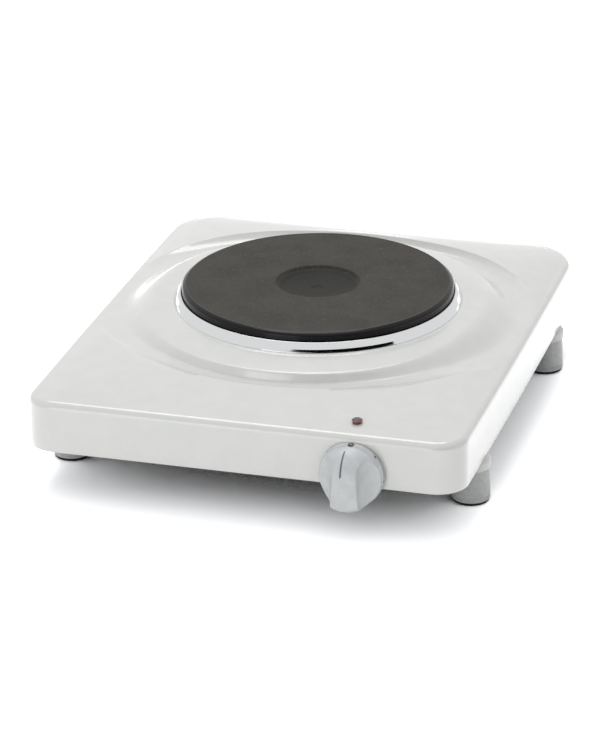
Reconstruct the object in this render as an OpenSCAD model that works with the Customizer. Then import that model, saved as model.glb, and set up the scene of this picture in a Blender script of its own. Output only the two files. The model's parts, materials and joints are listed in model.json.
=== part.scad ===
// Single hot plate burner: enamelled steel casing, cast-iron cooking plate, stepless regulator.
// Units are millimetres. +Z is up, the front (the knob) faces -Y, and Z = 0 is the table top.
// The origin lies on the table, under the middle of the whole object's footprint.

/* [Casing] */
// Width of the casing across its side walls
casing_w = 285; // [276:1:294]
// Depth of the casing from front wall to rear wall
casing_d = 348; // [338:1:356]
// Height of the walls, from the bottom edge to the rim
wall_h = 33.5; // [32:0.5:36]
// Thickness of the enamelled steel sheet
sheet_t = 1; // [0.8:0.1:1.2]
// Radius of the two upright corners at the front
corner_r = 20; // [17:1:24]
// Radius of the two upright corners at the rear
rear_corner_r = 38; // [34:1:42]
// Radius of the bend between the walls and the top
rim_r = 5; // [4:0.5:6]
// Outward bow of each side wall at its middle
side_bow = 0.8; // [0:0.1:1.5]
// Height of the casing's bottom edge above the table
ride_h = 32; // [30:0.5:36]

/* [Top pressing] */
// Rise of the crowned top above the rim, towards the front
crown_front = 3.5; // [2.5:0.1:4.5]
// Rise of the crowned top above the rim, towards the rear
crown_rear = 9.5; // [8:0.1:10.5]
// Height of the flat boss under the cooking plate, above the casing's bottom edge
boss_h = 45; // [44:0.5:47]
// Radius of the boss towards the front and the rear
boss_r = 119; // [117:1:120]
// How much narrower the boss is towards the sides
boss_taper = 11; // [8:1:12]
// Fall of the boss's top around the plate, towards the front and the rear
boss_fall = 3.5; // [2.5:0.1:4]
// Width of the boss's slope towards the front and the rear
boss_slope = 4; // [3:0.5:5]
// Extra width of that slope towards the sides
boss_spread = 11; // [8:1:12]
// Radius of the two arcs that bound the lens-shaped pressing
lens_r = 160; // [156:1:164]
// Distance of each arc's centre from the plate's centre, front to back
lens_shift = 28; // [26:1:30]
// Width of the pressing's curved wall
lens_wall = 16; // [10:1:18]
// Depth of the pressing at its front arc
lens_front = 1.6; // [0.8:0.1:2.4]
// Depth of the pressing at its rear arc
lens_rear = 5.5; // [3:0.5:6]
// Distance of the plate's centre behind the casing's centre
plate_y = 10.7; // [6:0.1:14]

/* [Cooking plate] */
// Diameter of the cast-iron plate
plate_dia = 180; // [178:0.5:182]
// Height of the plate's face above the boss
plate_rise = 11.5; // [11:0.5:13]
// Thickness of the plate's visible rim
plate_rim_t = 6.2; // [5.5:0.1:6.8]
// Depth of the plate body below its rim
plate_body_t = 9.3; // [8.5:0.1:10]
// Diameter of the unheated recess at the plate's centre
dish_dia = 55; // [50:1:58]
// Depth of that recess
dish_depth = 4.5; // [4:0.1:4.8]
// Radial gap between the plate body and the casing's opening
opening_gap = 4.5; // [4:0.1:5]
// Diameter of the heating coils, seen from their ends
coil_dia = 5; // [4:0.5:5.5]

/* [Clamping] */
// Diameter of the centre stud
stud_dia = 6; // [5:0.5:8]
// Width of the clamping bridge
bridge_w = 24; // [20:1:28]
// Thickness of the clamping bridge
bridge_t = 2; // [1.5:0.1:2.5]
// Drop of the clamping bridge below the casing's top
bridge_drop = 12; // [11:0.5:13]

/* [Base pan] */
// Width of the pan's flange, from the casing's wall to the pan's wall
pan_flange = 23.5; // [22.5:0.5:26]
// Depth of the pan below its flange
pan_depth = 13; // [12:0.5:14]
// Thickness of the pan's sheet
pan_t = 1; // [0.8:0.1:1.2]
// Radius of the pan's upright corners
pan_corner_r = 26; // [20:1:30]
// Number of vent slots on each side of the pan's floor
vent_count = 7; // [3:1:8]
// Width of a vent slot
vent_w = 4; // [3:0.5:5]
// Length of a vent slot
vent_len = 46; // [30:1:50]

/* [Feet] */
// Radius of a foot's body
foot_r = 11.8; // [11:0.1:12.2]
// Distance of a foot's axis inwards from the side wall
foot_inset_x = 9.5; // [9:0.1:10.5]
// Distance of a foot's axis inwards from the front or rear wall
foot_inset_y = 66.5; // [62:0.5:74]
// Height of a foot's pale collar
collar_h = 9; // [7:0.5:11]
// Thickness of the rubber pad under a foot
pad_t = 2; // [1.5:0.1:2.5]

/* [Knob and regulator] */
// Distance of the knob's axis from the casing's centre line
knob_x = 74; // [70:0.5:78]
// Height of the knob's axis above the casing's bottom edge
knob_z = 9.2; // [9.1:0.1:9.6]
// Diameter of the knob's skirt
knob_dia = 41.2; // [40.6:0.1:41.6]
// Length of the knob along its axis
knob_len = 20.5; // [19.5:0.1:21]
// Gap between the knob and the front wall
knob_gap = 1.2; // [1:0.1:1.6]
// Width of the knob's grip bar, where its two scoops come closest
grip_w = 15; // [14:0.5:16]
// Diameter of the regulator's shaft
shaft_dia = 6; // [5.6:0.1:6.4]
// Turn of the knob from off to full heat, in degrees
knob_turn = 270; // [240:5:280]
// Travel of the cam follower over that turn
follower_travel = 1.4; // [1.2:0.1:1.4]
// Width of the regulator's body
regulator_w = 42; // [40:1:44]
// Depth of the regulator's body behind the front wall
regulator_d = 22; // [21:0.5:24]
// Height of the regulator's body
regulator_h = 25; // [24:0.5:26]
// Wall thickness of the regulator's body
regulator_wall = 1.6; // [1.4:0.1:1.8]

/* [Pilot lamp] */
// Distance of the lamp from the casing's centre line
lamp_x = 72; // [66:0.5:80]
// Distance of the lamp behind the front wall
lamp_inset = 18; // [16:0.5:20]
// Diameter of the lamp's lens
lamp_dia = 6; // [5:0.1:6.5]

/* [Mains inlet] */
// Distance of the cable gland's axis inwards from the casing's left wall
gland_inset = 50.5; // [44:0.5:58]
// Diameter of the gland's passage for a mains cable
gland_bore = 7; // [6:0.1:8]
// Diameter of the gland's outer collar
gland_dia = 17; // [16:0.5:18]

/* [Hidden] */

$fn = 64;
eps = 0.01;

// Clearances between pieces
gap_sheet = 0.4;
gap_moving = 0.35;
gap_screw = 0.1;

// Levels above the table
rim_z = ride_h + wall_h;
boss_z = ride_h + boss_h;
face_z = boss_z + plate_rise;
flange_z = ride_h + pan_t;
pan_floor_z = flange_z - pan_depth;

// Footprint: the knob reaches further out in front than the gland does behind
gland_reach = 4;
knob_reach = knob_gap + knob_len;
frame_y = (knob_reach - gland_reach) / 2;

half_w = casing_w / 2;
half_d = casing_d / 2;
gland_x = half_w - gland_inset;
plate_r = plate_dia / 2;
plate_body_r = plate_r - 4;
opening_r = plate_body_r + opening_gap;
knob_axis_z = ride_h + knob_z;
wall_in_y = -half_d + sheet_t;

module placed() {
  translate([0, frame_y, 0]) children();
}

// ---------- enamelled top housing ----------

// Points of the casing's outline, corner by corner, inset by i
side_steps = 11;
corner_steps = 8;
function bow(u) = side_bow * (1 - u * u);
function radius_at(sy) = sy > 0 ? rear_corner_r : corner_r;
function corner_points(sx, sy, a0, i) = [
  for (k = [0 : corner_steps])
    let (a = a0 + 90 * k / corner_steps, r = radius_at(sy))
    [sx * (half_w - r) + (r - i) * cos(a), sy * (half_d - r) + (r - i) * sin(a)]
];
function side_points(p, q, bowed) = [
  for (k = [1 : side_steps - 1])
    let (t = k / side_steps, m = p + (q - p) * t)
    [m[0] + (bowed ? sign(m[0]) * bow(2 * t - 1) : 0), m[1]]
];
function outline(i) =
  let (
    c1 = corner_points(1, 1, 0, i), c2 = corner_points(-1, 1, 90, i),
    c3 = corner_points(-1, -1, 180, i), c4 = corner_points(1, -1, 270, i)
  )
  concat(
    c1, side_points(c1[corner_steps], c2[0], false), c2, side_points(c2[corner_steps], c3[0], true),
    c3, side_points(c3[corner_steps], c4[0], false), c4, side_points(c4[corner_steps], c1[0], true)
  );

// Crown of the top, which falls to nothing at the rim and is lower towards the front
crown_power = 6;
function smooth(t) = t * t * (3 - 2 * t);
function falloff(v, half) = 1 - pow(min(abs(v) / (half - rim_r), 1), crown_power);
function crown(p) =
  (crown_front + (crown_rear - crown_front) * smooth((p[1] + half_d) / casing_d))
  * falloff(p[0], half_w + side_bow) * falloff(p[1], half_d);
function lens_depth(p, uy) =
  (lens_front + (lens_rear - lens_front) * smooth((1 + uy) / 2)) * falloff(p[0], half_w + side_bow);

// Distance from the plate's centre to the nearer arc of the pressing, in a direction whose Y part is uy
function lens_edge(uy) =
  sqrt(pow(lens_shift * uy, 2) + pow(lens_r, 2) - pow(lens_shift, 2)) - lens_shift * abs(uy);

// Profile of the top from the opening to the rim, along the ray from the plate's centre to an
// outline point: a list of [distance from the plate's centre, height above the bottom edge]
boss_steps = 5;
fall_fade = 1.25;
function ray_profile(edge) =
  let (
    c = [0, plate_y],
    reach = norm(edge - c),
    u = (edge - c) / reach,
    side = pow(abs(u[0]), 4),
    r_boss = boss_r - boss_taper * side,
    r_foot = r_boss + boss_slope + (boss_taper + boss_spread) * side,
    r_edge = lens_edge(u[1]),
    wall_w = min(lens_wall, r_edge - r_foot - 1),
    r_last = min(r_edge, reach - 2),
    r_first = min(r_edge - wall_w, r_last - 2),
    height_at = function (r)
      let (p = c + u * r, inside = min(max((r_edge - r) / wall_w, 0), 1))
      wall_h + crown(p) - lens_depth(p, u[1]) * (1 - pow(1 - inside, 3)),
    z_boss = boss_h - boss_fall * max(1 - fall_fade * side, 0),
    z_foot = height_at(r_foot)
  )
  concat(
    [[opening_r, boss_h], [(plate_r + r_boss) / 2, (boss_h + z_boss) / 2]],
    [
      for (k = [0 : boss_steps])
        let (t = k / boss_steps)
        [r_boss + (r_foot - r_boss) * t, z_boss - (z_boss - z_foot) * smooth(t)]
    ],
    [for (t = [0, 0.45, 0.8, 1]) let (r = r_first + (r_last - r_first) * t) [r, height_at(r)]],
    [for (t = [0.35, 0.75]) let (r = r_last + (reach - r_last) * t) [r, height_at(r)]]
  );

// The whole wall of the shell along one ray, as points in space: the top, the bend and the wall
bend_steps = 4;
function skin(k, t) =
  let (
    edges = outline(rim_r),
    p = edges[k],
    c = [0, plate_y],
    u = (p - c) / norm(p - c),
    profile = ray_profile(p),
    out = outline(0)[k],
    n = (out - p) / norm(out - p),
    bend_r = rim_r - t
  )
  concat(
    [for (q = profile) let (m = c + u * q[0]) [m[0], m[1], ride_h + q[1] - t]],
    [
      for (j = [0 : bend_steps])
        let (a = 90 * j / bend_steps, m = p + n * bend_r * sin(a))
        [m[0], m[1], rim_z - rim_r + bend_r * cos(a)]
    ],
    [[p[0] + n[0] * bend_r, p[1] + n[1] * bend_r, ride_h]]
  );

function ring_index(i, j, rows, count) = (i % count) * rows + j;

module housing_shell() {
  count = len(outline(0));
  loops = [
    for (k = [0 : count - 1])
      let (outside = skin(k, 0), inside = skin(k, sheet_t))
      concat(outside, [for (j = [len(inside) - 1 : -1 : 0]) inside[j]])
  ];
  rows = len(loops[0]);
  points = [for (loop = loops) for (p = loop) p];
  faces = [
    for (i = [0 : count - 1]) for (j = [0 : rows - 1]) for (half = [0, 1])
      let (
        a = ring_index(i, j, rows, count), b = ring_index(i + 1, j, rows, count),
        c = ring_index(i + 1, (j + 1) % rows, rows, count), d = ring_index(i, (j + 1) % rows, rows, count)
      )
      half == 0 ? [a, b, c] : [a, c, d]
  ];
  polyhedron(points = points, faces = faces);
}

// Sheet tabs on the inside of the walls, which take the pan's screws
tab_w = 16;
tab_depth = 13;
tab_t = 1.5;
screw_r = 1.75;
tab_inset = 8;
side_tab_y = 46;
side_half = half_d - (corner_r + rear_corner_r) / 2;
side_tab_x = half_w + bow(side_tab_y / side_half) - sheet_t - tab_inset;
tab_places = [for (sx = [-1, 1]) for (sy = [-1, 1]) [sx * side_tab_x, sy * side_tab_y, sx > 0 ? 0 : 180]];
end_tab_places = [for (sx = [-1, 1]) for (sy = [-1, 1]) [sx * 22, sy * (half_d - sheet_t - tab_inset), sy * 90]];
all_tabs = concat(tab_places, end_tab_places);

module tab() {
  translate([tab_inset - tab_depth, -tab_w / 2, flange_z]) cube([tab_depth + sheet_t / 2, tab_w, tab_t]);
}

lamp_y = -half_d + lamp_inset;
lamp_top_z = rim_z + crown([lamp_x, lamp_y]);
gland_z = ride_h + wall_h / 2;
gland_thread_r = gland_dia / 2 - 2;
regulator_screw_x = 12;
regulator_screw_z = 6;
panel_screw_r = 1.5;
shaft_hole_r = 5;

module top_housing() {
  color("white") placed() difference() {
    union() {
      housing_shell();
      for (t = all_tabs) translate([t[0], t[1], 0]) rotate([0, 0, t[2]]) tab();
    }
    for (t = all_tabs) translate([t[0], t[1], flange_z - 1]) cylinder(r = screw_r + gap_screw, h = tab_t + 2);
    translate([knob_x, -half_d - 1, knob_axis_z]) rotate([-90, 0, 0]) cylinder(r = shaft_hole_r, h = sheet_t + 2);
    for (s = [-1, 1])
      translate([knob_x + s * regulator_screw_x, -half_d - 1, knob_axis_z + regulator_screw_z])
        rotate([-90, 0, 0]) cylinder(r = panel_screw_r + gap_screw, h = sheet_t + 2);
    translate([lamp_x, lamp_y, rim_z - 4]) cylinder(r = lamp_dia / 2 + gap_screw, h = 12);
    translate([-gland_x, half_d - sheet_t - 1, gland_z]) rotate([-90, 0, 0])
      cylinder(r = gland_thread_r + gap_screw, h = sheet_t + 2);
  }
}

// ---------- base pan, its screws and the feet ----------

// A plate with corners of radius r at the front and of radius rear_r at the rear
module rounded_plate(w, d, r, rear_r, h) {
  linear_extrude(h) union() {
    for (sx = [-1, 1]) for (sy = [-1, 1])
      let (corner = sy > 0 ? rear_r : r) {
        translate([sx * (w / 2 - corner), sy * (d / 2 - corner)]) circle(corner);
        translate([sx > 0 ? 0 : corner - w / 2, sy > 0 ? 0 : -d / 2]) square([w / 2 - corner, d / 2]);
        translate([sx > 0 ? 0 : -w / 2, sy > 0 ? 0 : corner - d / 2]) square([w / 2, d / 2 - corner]);
      }
  }
}

flange_w = casing_w - 2 * (sheet_t + gap_sheet);
flange_d = casing_d - 2 * (sheet_t + gap_sheet);
flange_r = corner_r - sheet_t - gap_sheet;
flange_rear_r = rear_corner_r - sheet_t - gap_sheet;
pan_w = casing_w - 2 * pan_flange;
pan_d = casing_d - 2 * pan_flange;
foot_x = casing_w / 2 - foot_inset_x;
foot_y = casing_d / 2 - foot_inset_y;
foot_places = [for (sx = [-1, 1]) for (sy = [-1, 1]) [sx * foot_x, sy * foot_y]];
foot_screw_r = 2;
vent_pitch = 2.6 * vent_w;
block_place = [-gland_x, 118];
earth_place = [block_place[0] + 34, 128];
block_screw_x = 12;

module slot(len, w, h) {
  linear_extrude(h) union() {
    square([len - w, w], center = true);
    for (s = [-1, 1]) translate([s * (len - w) / 2, 0]) circle(w / 2);
  }
}

module base_pan() {
  color("dimgray") placed() difference() {
    union() {
      translate([0, 0, flange_z - pan_t]) rounded_plate(flange_w, flange_d, flange_r, flange_rear_r, pan_t);
      translate([0, 0, pan_floor_z]) rounded_plate(pan_w, pan_d, pan_corner_r, pan_corner_r, pan_depth);
    }
    translate([0, 0, pan_floor_z + pan_t])
      rounded_plate(pan_w - 2 * pan_t, pan_d - 2 * pan_t, pan_corner_r - pan_t, pan_corner_r - pan_t, pan_depth);
    for (t = all_tabs) translate([t[0], t[1], flange_z - pan_t - 1]) cylinder(r = screw_r + 0.3, h = pan_t + 2);
    for (f = foot_places) translate([f[0], f[1], flange_z - pan_t - 1]) cylinder(r = foot_screw_r + gap_screw, h = pan_t + 2);
    for (s = [-1, 1]) for (k = [0 : vent_count - 1])
      translate([s * 55, plate_y + (k - (vent_count - 1) / 2) * vent_pitch, pan_floor_z - 1]) slot(vent_len, vent_w, pan_t + 2);
    translate([earth_place[0], earth_place[1], pan_floor_z - 1]) cylinder(r = screw_r + gap_screw, h = pan_t + 2);
    for (s = [-1, 1])
      translate([block_place[0] + s * block_screw_x, block_place[1], pan_floor_z - 1])
        cylinder(r = panel_screw_r + gap_screw, h = pan_t + 2);
  }
}

// Screw with its head at z = 0 pointing down and its shank going up
module screw_up(shank_r, len, head_r, head_h) {
  difference() {
    union() {
      cylinder(r = shank_r, h = len);
      translate([0, 0, -head_h]) cylinder(r1 = head_r - 0.6, r2 = head_r, h = head_h);
    }
    for (a = [0, 90]) rotate([0, 0, a])
      translate([-head_r * 0.6, -0.4, -head_h - eps]) cube([head_r * 1.2, 0.8, head_h * 0.5]);
  }
}

module pan_screws() {
  color("silver") placed()
    for (t = all_tabs) translate([t[0], t[1], flange_z - pan_t]) screw_up(screw_r, 7, 3.6, 2.2);
}

foot_top_z = ride_h;
foot_socket_z = 12;
module foot() {
  difference() {
    rotate_extrude() polygon([
      [0, pad_t], [foot_r + 0.3, pad_t], [foot_r + 0.5, pad_t + 1.4], [foot_r - 0.1, pad_t + 1.8],
      [foot_r - 0.1, pad_t + 2.6], [foot_r + 0.4, pad_t + 3], [foot_r - 0.2, foot_top_z - collar_h],
      [foot_r + 0.4, foot_top_z - collar_h + 0.4], [foot_r + 0.5, foot_top_z - 3],
      [foot_r - 0.3, foot_top_z - 1], [foot_r - 2, foot_top_z], [0, foot_top_z]
    ]);
    translate([0, 0, -1]) cylinder(r = 4.4, h = foot_socket_z + 1);
    cylinder(r = foot_screw_r + gap_screw, h = foot_top_z + 1);
  }
}

module feet() {
  color("lightgray") placed() for (f = foot_places) translate([f[0], f[1], 0]) foot();
}

module foot_pads() {
  color("black") placed() for (f = foot_places) translate([f[0], f[1], 0]) difference() {
    cylinder(r1 = foot_r - 0.4, r2 = foot_r + 0.3, h = pad_t);
    translate([0, 0, -1]) cylinder(r = 4.4, h = pad_t + 2);
  }
}

foot_nut_r = 3.6;
foot_nut_h = 2.8;
module foot_screws() {
  color("silver") placed() for (f = foot_places) translate([f[0], f[1], 0]) {
    translate([0, 0, foot_socket_z]) screw_up(foot_screw_r, flange_z + foot_nut_h + 0.6 - foot_socket_z, 3.9, 2.4);
    translate([0, 0, flange_z]) difference() {
      cylinder(r = foot_nut_r, h = foot_nut_h, $fn = 6);
      translate([0, 0, -1]) cylinder(r = foot_screw_r, h = foot_nut_h + 2);
    }
  }
}

// ---------- cooking plate and what is fastened to it ----------

plate_body_z = face_z - plate_rim_t;
plate_under_z = plate_body_z - plate_body_t;
face_bevel = 2;
dish_steps = 8;
dish_power = 2.2;
dish_dimple = 0.8;
dish_dimple_r = 2.6;
channel_w = 12;
channel_pitch = 16;
channel_r = [40, 40 + channel_pitch, 40 + 2 * channel_pitch];
channel_top_z = plate_body_z - 1.2;
cement_low_z = plate_under_z + 0.8;
coil_z = (channel_top_z + cement_low_z) / 2;
coil_r = coil_dia / 2;
lead_r = 0.9;
lead_angle = 60;
lead_len = coil_z - plate_under_z + 7;
hub_r = 12;

module over_plate() {
  translate([0, plate_y, 0]) children();
}

module cooking_plate() {
  color([0.22, 0.22, 0.20]) placed() over_plate() difference() {
    rotate_extrude() polygon([
      [0, plate_under_z], [plate_body_r, plate_under_z], [plate_body_r, plate_body_z],
      [plate_r - 0.4, plate_body_z], [plate_r, plate_body_z + 0.6], [plate_r, face_z - 1.6],
      [plate_r - 0.6, face_z - 0.6], [plate_r - face_bevel, face_z], [0, face_z]
    ]);
    rotate_extrude() polygon([
      [0, face_z - dish_depth - dish_dimple],
      [dish_dimple_r, face_z - dish_depth],
      for (k = [1 : dish_steps])
        let (u = k / dish_steps)
        [
          dish_dimple_r + (dish_dia / 2 - dish_dimple_r) * u,
          face_z - dish_depth * (1 - pow(u, dish_power))
        ],
      [dish_dia / 2, face_z + 1], [0, face_z + 1]
    ]);
    for (r = channel_r) translate([0, 0, plate_under_z - 1]) difference() {
      cylinder(r = r + channel_w / 2, h = channel_top_z - plate_under_z + 1);
      translate([0, 0, -1]) cylinder(r = r - channel_w / 2, h = channel_top_z - plate_under_z + 3);
    }
    translate([0, 0, plate_under_z - 1]) difference() {
      cylinder(r = channel_r[0] - channel_w / 2 - 3, h = 5);
      translate([0, 0, -1]) cylinder(r = hub_r, h = 7);
    }
    translate([0, 0, plate_under_z - 1]) cylinder(d = stud_dia, h = 9);
  }
}

module coil_shapes() {
  for (r = channel_r) {
    translate([0, 0, coil_z]) rotate_extrude() translate([r, 0]) circle(coil_r, $fn = 24);
    rotate([0, 0, lead_angle]) translate([r, 0, coil_z - lead_len]) cylinder(r = lead_r, h = lead_len, $fn = 24);
  }
}

module heating_coils() {
  color("darkgoldenrod") placed() over_plate() coil_shapes();
}

module coil_cement() {
  color("linen") placed() over_plate() difference() {
    for (r = channel_r) translate([0, 0, cement_low_z]) difference() {
      cylinder(r = r + channel_w / 2, h = channel_top_z - cement_low_z);
      translate([0, 0, -1]) cylinder(r = r - channel_w / 2, h = channel_top_z - cement_low_z + 2);
    }
    coil_shapes();
  }
}

ring_t = 0.8;
module overflow_ring() {
  lip_r = plate_r + 0.2;
  base_r = plate_r + 5.6;
  color("silver") placed() over_plate() rotate_extrude() polygon([
    [plate_body_r + 0.1, plate_body_z], [lip_r, plate_body_z], [lip_r, plate_body_z + 0.7],
    [lip_r + 0.7, plate_body_z + 0.9], [lip_r + 1.5, plate_body_z + 0.4], [lip_r + 2.2, plate_body_z - 1.1],
    [base_r - 2, boss_z + 2], [base_r - 0.6, boss_z + ring_t - 0.1], [base_r, boss_z + 0.4],
    [base_r, boss_z], [base_r - 1.8, boss_z], [base_r - 2.8, boss_z + 1.2], [lip_r + 1.2, plate_body_z - 2],
    [lip_r + 0.4, plate_body_z - ring_t], [plate_body_r + 0.1, plate_body_z - ring_t]
  ]);
}

cover_t = 0.8;
cover_z = plate_under_z - cover_t;
cover_r = plate_body_r - 3;
window = [44, 12];
module lead_window_frame() {
  rotate([0, 0, lead_angle]) translate([channel_r[1], 0, 0]) children();
}

module plate_cover() {
  color("silver") placed() over_plate() difference() {
    translate([0, 0, cover_z]) cylinder(r = cover_r, h = cover_t);
    translate([0, 0, cover_z - 1]) cylinder(r = hub_r, h = cover_t + 2);
    lead_window_frame() translate([-window[0] / 2, -window[1] / 2, cover_z - 1]) cube([window[0], window[1], cover_t + 2]);
  }
}

bridge_z = boss_z - sheet_t - bridge_drop - bridge_t;
bridge_bend_r = opening_r + 3;
bridge_end_r = (bridge_bend_r + boss_r - boss_taper) / 2;
module clamp_bridge() {
  top = boss_z - sheet_t;
  low = top - bridge_drop;
  color("gainsboro") placed() over_plate() difference() {
    translate([0, bridge_w / 2, 0]) rotate([90, 0, 0]) linear_extrude(bridge_w) polygon([
      [-bridge_end_r, top], [-bridge_bend_r, top], [-bridge_bend_r + 3, top - 6], [-40, low], [40, low],
      [bridge_bend_r - 3, top - 6], [bridge_bend_r, top], [bridge_end_r, top],
      [bridge_end_r, top - bridge_t], [bridge_bend_r + 1, top - bridge_t],
      [bridge_bend_r - 1.4, top - 6 - bridge_t], [40.2, low - bridge_t], [-40.2, low - bridge_t],
      [-bridge_bend_r + 1.4, top - 6 - bridge_t], [-bridge_bend_r - 1, top - bridge_t],
      [-bridge_end_r, top - bridge_t]
    ]);
    translate([0, 0, low - bridge_t - 1]) cylinder(r = stud_dia / 2 + 0.3, h = bridge_t + 2);
  }
}

washer_t = 1.6;
nut_h = 5;
stud_tail = 3;
module plate_stud() {
  low = bridge_z - washer_t - nut_h - stud_tail;
  color("silver") placed() over_plate() translate([0, 0, low]) cylinder(d = stud_dia, h = plate_under_z + 8 - low);
}

module stud_washer() {
  color("silver") placed() over_plate() translate([0, 0, bridge_z - washer_t]) difference() {
    cylinder(d = stud_dia * 2, h = washer_t);
    translate([0, 0, -1]) cylinder(r = stud_dia / 2 + 0.2, h = washer_t + 2);
  }
}

module stud_nut() {
  color("goldenrod") placed() over_plate() translate([0, 0, bridge_z - washer_t - nut_h]) difference() {
    cylinder(r = stud_dia * 0.93, h = nut_h, $fn = 6);
    translate([0, 0, -1]) cylinder(d = stud_dia, h = nut_h + 2);
  }
}

plate_block = [46, 16, 9];
lug_r = 3;
lug_t = 1.2;
block_top_z = cover_z;
block_low_z = block_top_z - plate_block[2];
module plate_terminal_block() {
  color("ivory") placed() over_plate() lead_window_frame() difference() {
    translate([-plate_block[0] / 2, -plate_block[1] / 2, block_low_z]) cube(plate_block);
    for (k = [-1 : 1]) translate([k * channel_pitch, 0, block_low_z - 1])
      cylinder(r = lead_r + gap_screw, h = plate_block[2] + 2, $fn = 24);
  }
}

module plate_terminal_lugs() {
  color("goldenrod") placed() over_plate() lead_window_frame()
    for (k = [-1 : 1]) translate([k * channel_pitch, 0, block_low_z - lug_t]) difference() {
      union() {
        cylinder(r = lug_r, h = lug_t);
        translate([-2, 0, 0]) cube([4, 12, lug_t]);
      }
      translate([0, 0, -1]) cylinder(r = lead_r + gap_screw, h = lug_t + 2, $fn = 24);
    }
}

cutout_place = [-46, 40];
cutout_h = 8;
module thermal_cutout() {
  color("tan") placed() over_plate() translate([cutout_place[0], cutout_place[1], cover_z - cutout_h]) {
    cylinder(r = 8, h = cutout_h);
    for (s = [-1, 1]) translate([s * 5 - 2, -14, 2]) cube([4, 28, 1]);
  }
}

// ---------- regulator, cam, shaft and knob ----------

regulator_low_z = flange_z + tab_t;
regulator_back_y = wall_in_y + regulator_d;
regulator_top_z = regulator_low_z + regulator_h;
cover_plate_t = 1.4;
tab_x = 14;
tab_y = regulator_back_y - 4.8;
tab_thick = 0.8;
tab_len = 6.3;
tab_rise = 2.5;
cavity_y0 = wall_in_y + 4;
shaft_r = shaft_dia / 2;
shaft_bore_r = shaft_r + 0.08;
cam_t = 4;
cam_y = cavity_y0 + 3;
cam_low_r = 3.8;
cam_rate = follower_travel / knob_turn;
cam_margin = 22;
follower_w = 4;
follower_len = 7;
follower_tip_r = 1.2;

// Local frame of the knob's axis: +Y points into the casing, X and Z as in the casing
module on_axis() {
  translate([knob_x, 0, knob_axis_z]) children();
}

module y_cylinder(r, y0, y1, fn = 64) {
  translate([0, y0, 0]) rotate([-90, 0, 0]) cylinder(r = r, h = y1 - y0, $fn = fn);
}

module regulator_box() {
  translate([knob_x - regulator_w / 2, wall_in_y + gap_sheet / 2, regulator_low_z])
    cube([regulator_w, regulator_d - gap_sheet / 2 - cover_plate_t, regulator_h]);
}

guide_gap = gap_moving;
module follower_guide(grow) {
  w = follower_w + 2 * grow;
  z0 = cam_low_r + follower_travel + 1.5;
  translate([-w / 2, cam_y - grow, z0]) cube([w, cam_t + 2 * grow, regulator_h]);
}

ledge_z = knob_axis_z + cam_low_r + follower_travel + 4.4;
ledge_t = 2.4;
module regulator_body() {
  cavity_low = regulator_low_z + 0.9;
  color([0.25, 0.18, 0.12]) placed() difference() {
    regulator_box();
    difference() {
      translate([knob_x - regulator_w / 2 + regulator_wall, cavity_y0, cavity_low])
        cube([
          regulator_w - 2 * regulator_wall, regulator_d,
          regulator_h - regulator_wall - (cavity_low - regulator_low_z)
        ]);
      translate([knob_x - regulator_w / 2, cavity_y0 - 1, ledge_z]) cube([regulator_w, cam_t + 6, ledge_t]);
    }
    on_axis() follower_guide(guide_gap);
    on_axis() y_cylinder(shaft_bore_r, -half_d - 1, cavity_y0 + 1);
    for (s = [-1, 1]) on_axis() translate([s * regulator_screw_x, 0, regulator_screw_z])
      y_cylinder(panel_screw_r, wall_in_y - 1, cavity_y0 - 0.6);
    for (s = [-1, 1]) translate([knob_x + s * tab_x - tab_thick / 2, tab_y - tab_len / 2, regulator_top_z - regulator_wall - 1])
      cube([tab_thick, tab_len, 3]);
  }
}

module regulator_cover() {
  color([0.25, 0.18, 0.12]) placed()
    translate([knob_x - regulator_w / 2, regulator_back_y - cover_plate_t, regulator_low_z])
      cube([regulator_w, cover_plate_t, regulator_h]);
}

module regulator_tabs() {
  color("goldenrod") placed() for (s = [-1, 1])
    translate([knob_x + s * tab_x - tab_thick / 2, tab_y - tab_len / 2, regulator_top_z - 5])
      cube([tab_thick, tab_len, 5 + tab_rise]);
}

head_h = 1.8;
module regulator_screws() {
  color("silver") placed() for (s = [-1, 1]) on_axis() translate([s * regulator_screw_x, 0, regulator_screw_z]) {
    y_cylinder(panel_screw_r, -half_d, cavity_y0 - 0.6);
    difference() {
      y_cylinder(2.6, -half_d - head_h, -half_d);
      translate([-1.8, -half_d - head_h - eps, -0.35]) cube([3.6, 0.8, 0.7]);
    }
  }
}

leaf_t = 0.4;
leaf_gap = 0.35;
module contact_leaf() {
  z = knob_axis_z + cam_low_r + follower_travel + gap_moving + follower_len + leaf_gap;
  x0 = knob_x - regulator_w / 2 + regulator_wall;
  color("peru") placed() union() {
    translate([x0, cam_y, z]) cube([regulator_w / 2 + 4, cam_t, leaf_t]);
    translate([x0, cam_y, ledge_z + ledge_t]) cube([4, cam_t, z - ledge_z - ledge_t]);
    translate([knob_x + 3, cam_y + cam_t / 2, z + leaf_t - eps]) cylinder(r = 1.4, h = 1, $fn = 24);
  }
}

flat_depth = 1.4;
shaft_front_y = -half_d - 14;
module regulator_shaft() {
  color("silver") placed() on_axis() difference() {
    union() {
      y_cylinder(shaft_r, shaft_front_y, cam_y + cam_t + 3);
      y_cylinder(shaft_r + 1.2, cavity_y0 + gap_moving, cam_y);
    }
    translate([-shaft_r - 1, shaft_front_y - 1, shaft_r - flat_depth]) cube([2 * shaft_r + 2, 12, flat_depth + 1]);
  }
}

module shaft_circlip() {
  color("silver") placed() on_axis() difference() {
    y_cylinder(shaft_r + 1.4, cam_y + cam_t + 0.1, cam_y + cam_t + 0.9);
    y_cylinder(shaft_r, cam_y + cam_t, cam_y + cam_t + 1);
  }
}

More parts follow.
